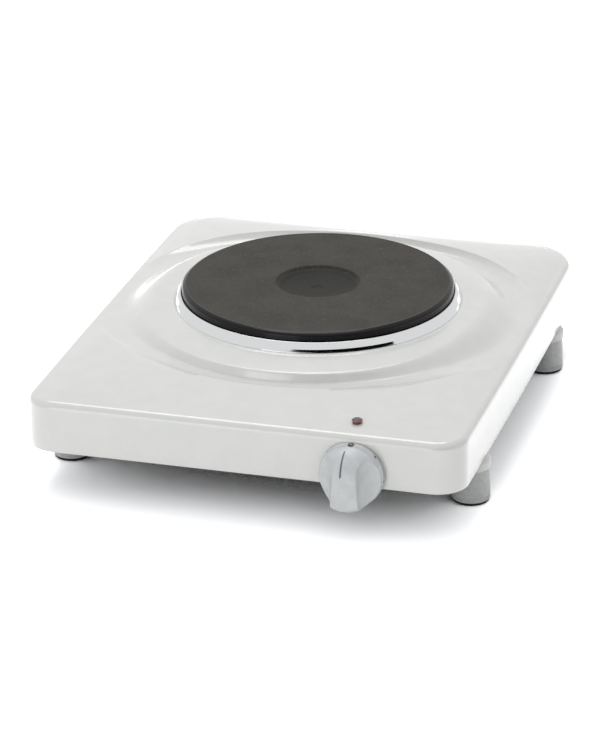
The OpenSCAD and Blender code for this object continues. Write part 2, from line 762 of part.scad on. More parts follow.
// Angle a runs round the cam from just before its off point; the cam falls away as the knob turns on
function cam_radius(a) =
  a <= 360 - 2 * cam_margin ? cam_low_r + follower_travel - cam_rate * (a - cam_margin)
  : cam_low_r + follower_travel + cam_rate * cam_margin
    - cam_rate * (360 - 2 * cam_margin) * (360 - a) / (2 * cam_margin);

module regulator_cam() {
  step = 4;
  color("white") placed() on_axis() difference() {
    translate([0, cam_y, 0]) rotate([-90, 0, 0]) linear_extrude(cam_t) polygon([
      for (a = [0 : step : 360 - step])
        let (world = 90 - cam_margin + a)
        [cam_radius(a) * cos(world), -cam_radius(a) * sin(world)]
    ]);
    y_cylinder(shaft_r, cam_y - 1, cam_y + cam_t + 1);
  }
}

module cam_follower() {
  z0 = cam_low_r + follower_travel + gap_moving;
  color("ivory") placed() on_axis() union() {
    translate([-follower_w / 2, cam_y, z0 + follower_tip_r]) cube([follower_w, cam_t, follower_len - follower_tip_r]);
    translate([0, 0, z0 + follower_tip_r]) y_cylinder(follower_tip_r, cam_y, cam_y + cam_t, 32);
  }
}

knob_back_y = -half_d - knob_gap;
knob_front_y = knob_back_y - knob_len;
knob_r = knob_dia / 2;
skirt_h = 5;
bevel_h = 1.2;
knob_hollow_r = knob_r - 2.4;
knob_hollow_h = 2.8;
// The knob rises as a dome, and a grip bar with a blunt lower end stands out of the dome's lower half
dome_lift = 3.5;
dome_r = knob_len - skirt_h + 0.5;
dome_steps = 12;
scoop_r = 12.5;
scoop_floor = skirt_h + 0.6;
scoop_top = 8.6;
scoop_splay = 4.5;

// Local frame of the knob's axis with its Z pointing out of the casing from the knob's back, and Y up
module knob_frame() {
  on_axis() translate([0, knob_back_y, 0]) rotate([90, 0, 0]) children();
}

module knob_skirt() {
  rotate_extrude() polygon([
    [0, 0], [knob_r - 0.3, 0], [knob_r, 0.3], [knob_r, bevel_h], [knob_r - 0.8, skirt_h],
    [knob_r - 1.4, skirt_h + 0.3], [0, skirt_h + 0.3]
  ]);
}

module knob_dome() {
  rise = knob_len - skirt_h;
  rotate_extrude() polygon([
    [0, skirt_h - 1], [dome_lift + dome_r, skirt_h - 1],
    for (k = [0 : dome_steps])
      let (a = 90 * k / dome_steps)
      [dome_lift + dome_r * cos(a), skirt_h + rise * sin(a)],
    [0, knob_len]
  ]);
}

module knob_bar() {
  bar_r = knob_r - 0.5;
  intersection() {
    rotate_extrude() polygon([
      [0, 0], [bar_r, 0], [bar_r - 0.2, skirt_h], [bar_r - 0.8, knob_len * 0.7], [bar_r - 1.6, knob_len - 2],
      [bar_r - 2.6, knob_len - 0.8], [bar_r - 4.2, knob_len], [0, knob_len]
    ]);
    translate([-knob_r, -knob_r, 0]) cube([knob_dia, knob_r + 0.5, knob_len]);
  }
}

module knob_scoop() {
  rotate([0, 0, scoop_splay]) {
    sphere(r = scoop_r);
    rotate([90, 0, 0]) cylinder(r = scoop_r, h = scoop_top + knob_dia);
  }
}

module control_knob() {
  color("gainsboro") placed() difference() {
    knob_frame() difference() {
      union() {
        knob_skirt();
        difference() {
          union() {
            knob_dome();
            knob_bar();
          }
          for (s = [0, 1]) mirror([s, 0, 0])
            translate([grip_w / 2 + scoop_r, scoop_top, scoop_floor + scoop_r]) knob_scoop();
        }
      }
      translate([0, 0, -eps]) difference() {
        cylinder(r = knob_hollow_r, h = knob_hollow_h);
        translate([0, 0, -1]) cylinder(r = 6, h = knob_hollow_h + 2);
      }
    }
    on_axis() y_cylinder(shaft_r + 0.02, shaft_front_y, -half_d);
  }
}

module knob_spring() {
  spring_t = flat_depth - 0.1;
  color("silver") placed() on_axis()
    intersection() {
      translate([-2.2, shaft_front_y + 0.5, shaft_r - flat_depth]) cube([4.4, 9.5, spring_t]);
      y_cylinder(shaft_r, shaft_front_y, shaft_front_y + 11);
    }
}

// ---------- pilot lamp ----------

lamp_r = lamp_dia / 2;
lens_len = 5;
bulb_drop = 0.4;
module pilot_lens() {
  dome_r = lamp_r + 0.5;
  flange_lift = 0.5;
  color("darkred") placed() translate([lamp_x, lamp_y, lamp_top_z]) difference() {
    union() {
      translate([0, 0, -lens_len]) cylinder(r = lamp_r, h = lens_len + flange_lift);
      translate([0, 0, flange_lift]) cylinder(r = dome_r, h = 0.4);
      translate([0, 0, flange_lift + 0.4]) cylinder(r1 = dome_r, r2 = dome_r - 1.4, h = 0.7);
    }
    translate([0, 0, -lens_len - 1]) cylinder(r = lamp_r - 0.8, h = lens_len);
  }
}

module lamp_push_nut() {
  color("silver") placed() translate([lamp_x, lamp_y, lamp_top_z - sheet_t - 2.2]) difference() {
    cylinder(r = lamp_r + 2.4, h = 0.6);
    translate([0, 0, -1]) cylinder(r = lamp_r, h = 3);
  }
}

module neon_bulb() {
  color("orange") placed() translate([lamp_x, lamp_y, lamp_top_z - lens_len - bulb_drop])
    union() {
      cylinder(r = lamp_r - 0.9, h = 1.9);
      translate([0, 0, 1.9]) sphere(r = lamp_r - 0.9);
    }
}

// ---------- mains inlet, terminals and earth ----------

module cable_gland() {
  inner = 9;
  color([0.15, 0.15, 0.15]) placed() translate([-gland_x, half_d, gland_z]) difference() {
    union() {
      rotate([-90, 0, 0]) cylinder(r1 = gland_dia / 2, r2 = gland_dia / 2 - 1.2, h = gland_reach);
      y_cylinder(gland_thread_r, -sheet_t - inner, 0);
    }
    y_cylinder(gland_bore / 2, -sheet_t - inner - 1, gland_reach + 1);
  }
}

module gland_nut() {
  color([0.15, 0.15, 0.15]) placed() translate([-gland_x, half_d - sheet_t, gland_z]) difference() {
    translate([0, -4.2, 0]) rotate([-90, 0, 0]) cylinder(r = gland_dia / 2 + 1.5, h = 4, $fn = 6);
    y_cylinder(gland_thread_r, -5, 1);
  }
}

block_size = [34, 18, 13];
block_floor_z = pan_floor_z + pan_t;
pole_pitch = 8;
module mains_terminal_block() {
  color("ivory") placed() translate([block_place[0], block_place[1], block_floor_z]) difference() {
    translate([-block_size[0] / 2, -block_size[1] / 2, 0]) cube(block_size);
    for (k = [-1 : 1]) translate([k * pole_pitch, 0, 6]) y_cylinder(2.2, -block_size[1], block_size[1]);
    for (s = [-1, 1]) translate([s * block_screw_x, 0, -1])
      cylinder(r = panel_screw_r + gap_screw, h = block_size[2] + 2);
  }
}

module mains_block_screws() {
  color("silver") placed() for (s = [-1, 1])
    translate([block_place[0] + s * block_screw_x, block_place[1], 0]) {
      translate([0, 0, pan_floor_z - 2]) cylinder(r = panel_screw_r, h = block_size[2] + pan_t + 2);
      translate([0, 0, block_floor_z + block_size[2]]) cylinder(r = 2.6, h = 1.6);
      translate([0, 0, pan_floor_z - 2]) difference() {
        cylinder(r = 3.1, h = 2, $fn = 6);
        translate([0, 0, -1]) cylinder(r = panel_screw_r - eps, h = 4);
      }
    }
}

lug_thick = 0.8;
module earth_screw() {
  color("silver") placed() translate([earth_place[0], earth_place[1], pan_floor_z - 2.2]) {
    cylinder(r = 3.6, h = 2.2);
    cylinder(r = screw_r, h = 11);
    translate([0, 0, 2.2 + pan_t + lug_thick]) difference() {
      cylinder(r = 3.6, h = 2.6, $fn = 6);
      translate([0, 0, -1]) cylinder(r = screw_r - eps, h = 5);
    }
  }
}

module earth_lug() {
  color("goldenrod") placed() translate([earth_place[0], earth_place[1], pan_floor_z + pan_t]) difference() {
    union() {
      cylinder(r = 4, h = lug_thick);
      translate([-14, -2, 0]) cube([12, 4, lug_thick]);
    }
    translate([0, 0, -1]) cylinder(r = screw_r + gap_screw, h = 3);
  }
}

// ---------- internal wiring ----------

wire_r = 1.3;
wire_sides = 10;
function unit(v) = v / norm(v);
function wire_heading(points, k) =
  k == 0 ? unit(points[1] - points[0])
  : k == len(points) - 1 ? unit(points[k] - points[k - 1])
  : unit(unit(points[k] - points[k - 1]) + unit(points[k + 1] - points[k]));

// Round wire through a list of points, as one swept tube
module wire(points, r = wire_r) {
  lean = [0.38, 0.27, 0.88];
  rings = [
    for (k = [0 : len(points) - 1])
      let (t = wire_heading(points, k), u = unit(cross(t, lean)), v = cross(t, u))
      for (j = [0 : wire_sides - 1])
        points[k] + r * (u * cos(360 * j / wire_sides) + v * sin(360 * j / wire_sides))
  ];
  last = (len(points) - 1) * wire_sides;
  sides = [
    for (k = [0 : len(points) - 2]) for (j = [0 : wire_sides - 1]) for (half = [0, 1])
      let (a = k * wire_sides + j, b = k * wire_sides + (j + 1) % wire_sides, n = wire_sides)
      half == 0 ? [a, b + n, b] : [a, a + n, b + n]
  ];
  polyhedron(
    points = rings,
    faces = concat(sides, [[for (j = [0 : wire_sides - 1]) j], [for (j = [wire_sides - 1 : -1 : 0]) last + j]])
  );
}

pole_z = block_floor_z + 6;
pole_front_y = block_place[1] - block_size[1] / 2;
floor_run_z = pan_floor_z + pan_t + wire_r + 0.3;
run_x = pan_w / 2 - 7;
tab_top_z = regulator_top_z + tab_rise;
tab_wire_z = tab_top_z + wire_r + 0.3;
lug_out = [for (k = [-1 : 1]) [
  channel_r[1] * cos(lead_angle) + k * channel_pitch * cos(lead_angle) - 13 * sin(lead_angle),
  plate_y + channel_r[1] * sin(lead_angle) + k * channel_pitch * sin(lead_angle) + 13 * cos(lead_angle),
  block_low_z - lug_t / 2
]];
cutout_z = cover_z - cutout_h + 2.5;

module live_wire() {
  x = block_place[0] - pole_pitch;
  color("saddlebrown") placed() wire([
    [x, pole_front_y + 5, pole_z], [x, pole_front_y - 12, pole_z], [-run_x, 60, floor_run_z],
    [-run_x, 64 - half_d, floor_run_z], [20, -134, floor_run_z + 3], [44, -138, tab_top_z - 8],
    [knob_x - 20, tab_y, tab_wire_z], [knob_x - tab_x, tab_y, tab_wire_z]
  ]);
}

module neutral_wire() {
  x = block_place[0];
  color("royalblue") placed() wire([
    [x, pole_front_y + 5, pole_z], [x, pole_front_y - 10, pole_z], [x + 20, 84, 40], [-20, 88, 50],
    [lug_out[2][0] - 6, lug_out[2][1] + 6, lug_out[2][2] - 3], lug_out[2]
  ]);
}

module switched_wire() {
  color("black") placed() wire([
    [knob_x + tab_x, tab_y, tab_wire_z], [knob_x + 20, tab_y, tab_wire_z], [knob_x + 26, -132, tab_top_z - 8],
    [96, -90, 40], [30, -62, 36], [-30, -40, 38], [-60, 10, 48],
    [cutout_place[0] + 5, plate_y + cutout_place[1] - 15.4, cutout_z]
  ]);
  color("black") placed() wire([
    [cutout_place[0] + 5, plate_y + cutout_place[1] + 15.4, cutout_z],
    [cutout_place[0] + 14, plate_y + cutout_place[1] + 20, cutout_z - 2],
    [lug_out[0][0] - 6, lug_out[0][1] + 6, lug_out[0][2] - 2], lug_out[0]
  ]);
}

module lamp_wires() {
  z = lamp_top_z - lens_len - bulb_drop - 0.7;
  color("orange") placed() for (s = [-1, 1]) wire([
    [lamp_x + s * 0.9, lamp_y, z], [lamp_x + s * 0.9, lamp_y + 4, z], [lamp_x + s * 6, regulator_back_y + 3, z],
    [knob_x + s * tab_x, regulator_back_y + 3, tab_top_z - 1.4],
    [knob_x + s * tab_x, tab_y + tab_len / 2 + gap_moving, tab_top_z - 1.4]
  ], 0.6);
}

module earth_wire() {
  x = block_place[0] + pole_pitch;
  color("yellowgreen") placed() wire([
    [x, pole_front_y + 5, pole_z], [x, pole_front_y - 5, pole_z], [x + 14, pole_front_y - 4, pole_z - 3],
    [earth_place[0] - 13, earth_place[1] - 8, floor_run_z], [earth_place[0] - 12, earth_place[1], floor_run_z + 0.9]
  ]);
}

top_housing();
base_pan();
pan_screws();
feet();
foot_pads();
foot_screws();
cooking_plate();
coil_cement();
heating_coils();
overflow_ring();
plate_cover();
plate_stud();
clamp_bridge();
stud_washer();
stud_nut();
plate_terminal_block();
plate_terminal_lugs();
thermal_cutout();
regulator_body();
regulator_cover();
regulator_screws();
regulator_tabs();
contact_leaf();
regulator_shaft();
shaft_circlip();
regulator_cam();
cam_follower();
control_knob();
knob_spring();
pilot_lens();
lamp_push_nut();
neon_bulb();
mains_terminal_block();
mains_block_screws();
earth_screw();
earth_lug();
cable_gland();
gland_nut();
live_wire();
neutral_wire();
switched_wire();
lamp_wires();
earth_wire();
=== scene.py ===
"""Looks of a single hot plate burner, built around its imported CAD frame."""

import json  # noqa: E402
import logging  # noqa: E402
import math  # noqa: E402
from dataclasses import dataclass  # noqa: E402
from enum import Enum  # noqa: E402
from typing import Any, Optional, Sequence  # noqa: E402

import bpy  # noqa: E402
import numpy as np  # noqa: E402
from mathutils import Matrix, Vector  # noqa: E402


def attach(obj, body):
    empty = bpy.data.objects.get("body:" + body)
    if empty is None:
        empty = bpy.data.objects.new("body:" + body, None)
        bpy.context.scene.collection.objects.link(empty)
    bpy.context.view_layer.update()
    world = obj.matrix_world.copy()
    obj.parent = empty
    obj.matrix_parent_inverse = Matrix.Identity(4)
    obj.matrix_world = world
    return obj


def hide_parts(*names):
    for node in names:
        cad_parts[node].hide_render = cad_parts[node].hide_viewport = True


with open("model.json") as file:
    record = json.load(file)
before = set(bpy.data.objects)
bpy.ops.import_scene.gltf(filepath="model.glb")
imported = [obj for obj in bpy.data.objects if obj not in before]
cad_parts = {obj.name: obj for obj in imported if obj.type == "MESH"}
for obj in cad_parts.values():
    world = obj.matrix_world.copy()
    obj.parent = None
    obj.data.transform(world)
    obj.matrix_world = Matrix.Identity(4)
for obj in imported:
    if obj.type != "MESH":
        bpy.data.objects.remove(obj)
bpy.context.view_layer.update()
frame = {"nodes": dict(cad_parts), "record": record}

LOG = logging.getLogger("hot_plate")
MM = 0.001
# The casing's centre lies this far behind the frame's origin, in millimetres
CASING_Y = 8.85
# Height of the casing's bottom edge above the table, in millimetres
RIDE = 32.0

# Edges that turn more than this stay sharp, in degrees
SHARP_DEG = 35.0

Array = np.ndarray
Tree = bpy.types.NodeTree
Output = bpy.types.NodeSocket
Material = bpy.types.Material
Object = bpy.types.Object


class Body(Enum):
    """The CAD bodies that pieces ride on."""

    CASING = "casing_body"
    KNOB = "knob_body"


# ---------------------------------------------------------------- mesh making


def turned(profile: Sequence[tuple[float, float]], segments: int) -> tuple[list, list]:
    """Turns a closed profile round the Z axis.

    Args:
        profile: (radius, height) points in order, not repeated at the end.
        segments: how many steps make the full turn.

    Returns:
        The points and the faces.
    """
    angles = np.linspace(0, 2 * math.pi, segments, endpoint=False)
    points: list = []
    rings: list[list[int]] = []
    for r, z in profile:
        if r < 1e-6:
            rings.append([len(points)] * segments)
            points.append((0.0, 0.0, z))
        else:
            rings.append(list(range(len(points), len(points) + segments)))
            points.extend((r * math.cos(a), r * math.sin(a), z) for a in angles)
    faces: list = []
    for low, high in zip(rings, rings[1:] + rings[:1]):
        for k in range(segments):
            n = (k + 1) % segments
            face = list(dict.fromkeys((low[k], low[n], high[n], high[k])))
            if len(face) > 2:
                faces.append(face)
    return points, faces


def eased(profile: Sequence[tuple], steps: int = 4) -> list[tuple[float, float]]:
    """Rounds the corners of a profile.

    Args:
        profile: (x, y) or (x, y, radius) points; a corner without a radius stays sharp.
        steps: segments of each rounded corner.

    Returns:
        The profile with each rounded corner replaced by an arc.
    """
    made: list[tuple[float, float]] = []
    count = len(profile)
    for k, corner in enumerate(profile):
        if len(corner) < 3:
            made.append((corner[0], corner[1]))
            continue
        here = Vector(corner[:2])
        before = Vector(profile[k - 1][:2]) - here
        after = Vector(profile[(k + 1) % count][:2]) - here
        half = before.angle(after) / 2
        cut = min(corner[2] / math.tan(half), before.length * 0.49, after.length * 0.49)
        first, last = here + before.normalized() * cut, here + after.normalized() * cut
        for s in range(steps + 1):
            t = s / steps
            a, b = first.lerp(here, t), here.lerp(last, t)
            made.append(tuple(a.lerp(b, t)))
    return made


def banded(rows: Array, around: bool = True, closed: bool = False) -> tuple[list, list]:
    """Joins rows of points into quads.

    Args:
        rows: array of shape (rows, columns, 3).
        around: whether the last column joins the first.
        closed: whether the last row joins the first.

    Returns:
        The points and the faces.
    """
    height, width = rows.shape[:2]
    faces = []
    for i in range(height if closed else height - 1):
        for j in range(width if around else width - 1):
            a, b = i * width + j, i * width + (j + 1) % width
            c, d = ((i + 1) % height) * width + (j + 1) % width, ((i + 1) % height) * width + j
            faces.append((a, b, c, d))
    return [tuple(p) for p in rows.reshape(-1, 3)], faces


def levelled(spots: Array, z: Any) -> Array:
    """Points at (x, y) spots, all at one height or each at its own."""
    return np.column_stack([spots, np.broadcast_to(z, len(spots))])


def hoop(radius: Any, angles: Array, z: Any) -> Array:
    """Points round the Z axis, whose radius and height may change with the angle."""
    return levelled(np.stack([radius * np.cos(angles), radius * np.sin(angles)], 1), z)


def capped(rows: Sequence[Array]) -> tuple[list, list]:
    """Joins hoops into a closed form, with the first and the last hoop filled."""
    points, faces = banded(np.stack(rows))
    count = len(rows[0])
    faces.append(list(range(count - 1, -1, -1)))
    faces.append(list(range(len(points) - count, len(points))))
    return points, faces


def signed_volume(points: Array, faces: Sequence[Sequence[int]]) -> float:
    """Volume inside the faces, negative where they point inwards."""
    by_size: dict[int, list] = {}
    for face in faces:
        by_size.setdefault(len(face), []).append(tuple(face))
    total = 0.0
    for size, group in by_size.items():
        ids = np.array(group)
        first = points[ids[:, 0]]
        for k in range(1, size - 1):
            total += float(np.sum(first * np.cross(points[ids[:, k]], points[ids[:, k + 1]])))
    return total / 6


def linked(name: str, data: Any) -> Object:
    """Makes an object of its data and puts it in the scene."""
    made = bpy.data.objects.new(name, data)
    bpy.context.scene.collection.objects.link(made)
    return made


def four(x: float, y: float, z: float) -> list[tuple[float, float, float]]:
    """The four points at plus and minus x and y."""
    return [(sx * x, sy * y, z) for sx in (-1, 1) for sy in (-1, 1)]


def piece(
    name: str,
    points: Sequence,
    faces: Sequence[Sequence[int]],
    material: Material,
    place: Matrix = Matrix.Identity(4),
    sharp_deg: float = SHARP_DEG,
) -> Object:
    """Makes a mesh object from millimetre points, with its place in the mesh.

    Args:
        name: the object's name.
        points: points in millimetres, in the piece's own frame.
        faces: faces of a closed surface.
        material: the finish.
        place: where the piece goes, in millimetres, in the casing-centred frame.
        sharp_deg: edges that turn more than this stay sharp.

    Returns:
        The object, with all its faces pointing outwards.
    """
    moved = Matrix.Scale(MM, 4) @ Matrix.Translation((0, CASING_Y, 0)) @ place
    flat = np.array(points, float)
    world = flat @ np.array(moved.to_3x3()).T + np.array(moved.translation)
    if signed_volume(world * 1000, faces) < 0:
        faces = [tuple(reversed(face)) for face in faces]
    mesh = bpy.data.meshes.new(name)
    mesh.from_pydata([tuple(p) for p in world], [], [tuple(face) for face in faces])
    mesh.validate()
    mesh.materials.append(material)
    mesh.shade_smooth()
    mesh.set_sharp_from_angle(angle=math.radians(sharp_deg))
    return linked(name, mesh)


class Kind(Enum):
    """The kinds of socket of the repeating tree."""

    GEOMETRY = "NodeSocketGeometry"
    SHAPE = "NodeSocketObject"
    FINISH = "NodeSocketMaterial"


def repeating() -> Tree:
    """Makes a geometry tree that sets its Shape, in its Finish, at every point of its host."""
    tree = bpy.data.node_groups.new("set_at_points", "GeometryNodeTree")
    inputs = {"Geometry": Kind.GEOMETRY, "Shape": Kind.SHAPE, "Finish": Kind.FINISH}
    for label, kind in inputs.items():
        tree.interface.new_socket(label, in_out="INPUT", socket_type=kind.value)
    tree.interface.new_socket("Geometry", in_out="OUTPUT", socket_type=Kind.GEOMETRY.value)
    source = add_node(tree, "NodeGroupInput").outputs
    shape = add_node(tree, "GeometryNodeObjectInfo", links={"Object": source["Shape"]})
    spots = {"Points": source["Geometry"], "Instance": shape.outputs["Geometry"]}
    placed = add_node(tree, "GeometryNodeInstanceOnPoints", links=spots)
    real = add_node(tree, "GeometryNodeRealizeInstances", links={0: placed.outputs["Instances"]})
    worn = {"Geometry": real.outputs[0], "Material": source["Finish"]}
    dress = add_node(tree, "GeometryNodeSetMaterial", links=worn)
    add_node(tree, "NodeGroupOutput", links={0: dress.outputs[0]})
    return tree


def set_at(
    name: str,
    shape: tuple[list, list],
    points: Sequence[Sequence[float]],
    finish: Material,
) -> Object:
    """Repeats one shape at several points with the geometry tree.

    Args:
        name: the piece's name.
        shape: points in millimetres and faces of the shape.
        points: casing-centred places in millimetres.
        finish: its material.

    Returns:
        The piece.
    """
    one = piece(name + "_one", *shape, finish, Matrix.Translation((0, -CASING_Y, 0)))
    spots = bpy.data.meshes.new(name)
    spots.from_pydata([(x * MM, (y + CASING_Y) * MM, z * MM) for x, y, z in points], [], [])
    made = linked(name, spots)
    modifier = made.modifiers.new("growth", "NODES")
    modifier.node_group = repeating()
    values = {"Shape": one, "Finish": finish}
    for item in modifier.node_group.interface.items_tree:
        if item.item_type == "SOCKET" and item.in_out == "INPUT" and item.name in values:
            modifier[item.identifier] = values[item.name]
    graph = bpy.context.evaluated_depsgraph_get()
    grown = bpy.data.meshes.new_from_object(made.evaluated_get(graph), depsgraph=graph)
    made.modifiers.remove(modifier)
    made.data = grown
    bpy.data.meshes.remove(spots)
    bpy.data.objects.remove(one)
    grown.name = name
    grown.set_sharp_from_angle(angle=math.radians(SHARP_DEG))
    return made


def dressed(made: Object, body: Body, nodes: Sequence[str]) -> Object:
    """Lets a piece ride on a body in place of its CAD nodes.

    Args:
        made: the piece.
        body: the body that it moves with.
        nodes: the CAD nodes that it stands for.

    Returns:
        The piece.
    """
    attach(made, body.value)
    if nodes:
        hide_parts(*nodes)
    LOG.info("%s: %d faces", made.name, len(made.data.polygons))
    return made


# ---------------------------------------------------------------- materials


def linear(hex_colour: str) -> tuple[float, float, float, float]:
    """Turns an sRGB hex colour into the linear values that shaders take."""
    values = [int(hex_colour[k : k + 2], 16) / 255 for k in (1, 3, 5)]
    made = [v / 12.92 if v <= 0.04045 else ((v + 0.055) / 1.055) ** 2.4 for v in values]
    return (made[0], made[1], made[2], 1.0)


def add_node(
    tree: Tree,
    kind: str,
    values: Optional[dict] = None,
    links: Optional[dict] = None,
    **settings: Any,
) -> bpy.types.Node:
    """Adds a node with its settings, constants and links.

    Args:
        tree: the tree that gets it.
        kind: the node's type name.
        values: input name or index to constant.
        links: input name or index to the socket that feeds it.
        **settings: properties of the node itself.

    Returns:
        The node.
    """
    node = tree.nodes.new(kind)
    for key, value in settings.items():
        setattr(node, key, value)
    for key, value in (values or {}).items():
        node.inputs[key].default_value = value
    for key, socket in (links or {}).items():
        tree.links.new(socket, node.inputs[key])
    return node


def place_mm(tree: Tree, shift: Sequence[float] = (0, 0, 0)) -> Output:
    """Object coordinates in millimetres, measured from a point of the casing-centred frame."""
    coords = add_node(tree, "ShaderNodeTexCoord")
    mapped = add_node(
        tree,
        "ShaderNodeMapping",
        {"Location": (-shift[0], -shift[1] - CASING_Y, -shift[2]), "Scale": (1000, 1000, 1000)},
        {"Vector": coords.outputs["Object"]},
        vector_type="POINT",
    )
    return mapped.outputs["Vector"]


def stepped(
    tree: Tree, value: Output, low: float, high: float
) -> Output:
    """Zero below low, one above high, and smooth between them."""
    node = add_node(
        tree,
        "ShaderNodeMapRange",
        {"From Min": low, "From Max": high, "To Min": 0.0, "To Max": 1.0},
        {"Value": value},
        interpolation_type="SMOOTHSTEP",
    )
    return node.outputs["Result"]


def ranged(
    tree: Tree, value: Output, span: tuple[float, float], result: tuple[float, float]
) -> Output:
    """Carries a value evenly from one range to another."""
    limits = {"From Min": span[0], "From Max": span[1], "To Min": result[0], "To Max": result[1]}
    return add_node(tree, "ShaderNodeMapRange", limits, {"Value": value}).outputs["Result"]


def length_of(tree: Tree, spot: Output) -> Output:
    """Length of a vector."""
    return add_node(tree, "ShaderNodeVectorMath", links={0: spot}, operation="LENGTH").outputs["Value"]


def off_axis(tree: Tree, centre: Sequence[float]) -> Output:
    """Distance in millimetres from the upright axis through a point."""
    flat = add_node(
        tree,
        "ShaderNodeVectorMath",
        {1: (1.0, 1.0, 0.0)},
        {0: place_mm(tree, centre)},
        operation="MULTIPLY",
    )
    return length_of(tree, flat.outputs["Vector"])


def along_line(tree: Tree, direction: tuple[float, float, float], rate: float) -> Output:
    """A sine wave that runs along a direction, at a rate in radians a millimetre."""
    along = add_node(
        tree, "ShaderNodeVectorMath", {1: direction}, {0: place_mm(tree)}, operation="DOT_PRODUCT"
    )
    return math_node(tree, "SINE", math_node(tree, "MULTIPLY", along.outputs["Value"], rate))


def feed(
    main: bpy.types.Node,
    colour: Optional[Output] = None,
    normal: Optional[Output] = None,
    rough: Optional[Output] = None,
) -> None:
    """Feeds the main shader's base colour, normal and roughness."""
    for label, socket in (("Base Color", colour), ("Normal", normal), ("Roughness", rough)):
        if socket is not None:
            main.id_data.links.new(socket, main.inputs[label])


def coated(main: bpy.types.Node, weight: float, roughness: float = 0.03) -> None:
    """Lays a clear coat over the main shader."""
    main.inputs["Coat Weight"].default_value = weight
    main.inputs["Coat Roughness"].default_value = roughness


def opened(material: Material) -> tuple[Tree, bpy.types.Node, Output]:
    """The tree, the main shader and the base colour's socket of a finished material."""
    tree = material.node_tree
    main = tree.nodes["Principled BSDF"]
    return tree, main, main.inputs["Base Color"].links[0].from_socket


def mixed(
    tree: Tree,
    factor: Output,
    first: Any,
    second: Any,
) -> Output:
    """Mixes two colours, each a constant or a socket, by a factor socket."""
    node = add_node(tree, "ShaderNodeMix", data_type="RGBA")
    tree.links.new(factor, node.inputs[0])
    for index, colour in ((6, first), (7, second)):
        if isinstance(colour, tuple):
            node.inputs[index].default_value = colour
        else:
            tree.links.new(colour, node.inputs[index])
    return node.outputs[2]


def math_node(tree: Tree, operation: str, *terms: Any) -> Output:
    """One arithmetic step on numbers or sockets."""
    node = add_node(tree, "ShaderNodeMath", operation=operation)
    for index, term in enumerate(terms):
        if isinstance(term, (int, float)):
            node.inputs[index].default_value = term
        else:
            tree.links.new(term, node.inputs[index])
    return node.outputs[0]


def bumped(
    tree: Tree, height: Output, depth_mm: float, strength: float = 1.0
) -> Output:
    """A bump whose height socket of one stands for depth_mm millimetres."""
    node = add_node(
        tree, "ShaderNodeBump", {"Strength": strength, "Distance": depth_mm * MM}, {"Height": height}
    )
    return node.outputs["Normal"]


@dataclass(frozen=True)
class Finish:
    """A finish: what it is called, its colours and how it scatters light."""

    name: str
    colour: str
    second: str = "#808080"
    roughness: float = 0.5
    metallic: float = 0.0
    specular: float = 0.5
    grain_mm: float = 1.0
    bump_mm: float = 0.01

    def shader(self) -> tuple[Material, Tree, bpy.types.Node]:
        """Makes the material with its main shader and the constants set on it."""
        material = bpy.data.materials.new(self.name)
        material.use_nodes = True
        tree = material.node_tree
        main = tree.nodes["Principled BSDF"]
        main.inputs["Base Color"].default_value = linear(self.colour)
        main.inputs["Roughness"].default_value = self.roughness
        main.inputs["Metallic"].default_value = self.metallic
        main.inputs["Specular IOR Level"].default_value = self.specular
        material.diffuse_color = linear(self.colour)
        return material, tree, main

    def noise(
        self, tree: Tree, size_mm: float, detail: float = 3.0
    ) -> Output:
        """Noise whose lumps are about size_mm across."""
        node = add_node(
            tree,
            "ShaderNodeTexNoise",
            {"Scale": 1.0 / size_mm, "Detail": detail, "Roughness": 0.55},
            {"Vector": place_mm(tree)},
        )
        return node.outputs["Fac"]

    def two_tone(self, tree: Tree, value: Output, low: float, high: float) -> Output:
        """The first colour where the value is low and the second where it is high."""
        return mixed(tree, stepped(tree, value, low, high), linear(self.colour), linear(self.second))

    def build(self) -> Material:
        """Mottles the colour, the gloss and the surface at the grain's size."""
        material, tree, main = self.shader()
        lumps = self.noise(tree, self.grain_mm)
        spread = (self.roughness * 0.85, min(1.0, self.roughness * 1.15))
        rough = ranged(tree, self.noise(tree, self.grain_mm * 3), (0.3, 0.7), spread)
        feed(main, self.two_tone(tree, lumps, 0.35, 0.7), bumped(tree, lumps, self.bump_mm), rough)
        return material


@dataclass(frozen=True)
class Enamel(Finish):
    """Vitreous enamel fired on pressed steel: a glassy coat with a faint orange peel."""

    def build(self) -> Material:
        """Adds slow waves and a fine peel under the glassy coat."""
        material, tree, main = self.shader()
        # The coat wanders by a few hundredths of a millimetre over 10 to 20 mm
        waves = self.noise(tree, 14.0, 2.0)
        peel = self.noise(tree, self.grain_mm, 2.0)
        height = math_node(tree, "ADD", math_node(tree, "MULTIPLY", waves, 4.0), peel)
        feed(main, self.two_tone(tree, waves, 0.3, 0.75), bumped(tree, height, self.bump_mm))
        coated(main, 0.35, 0.08)
        return material


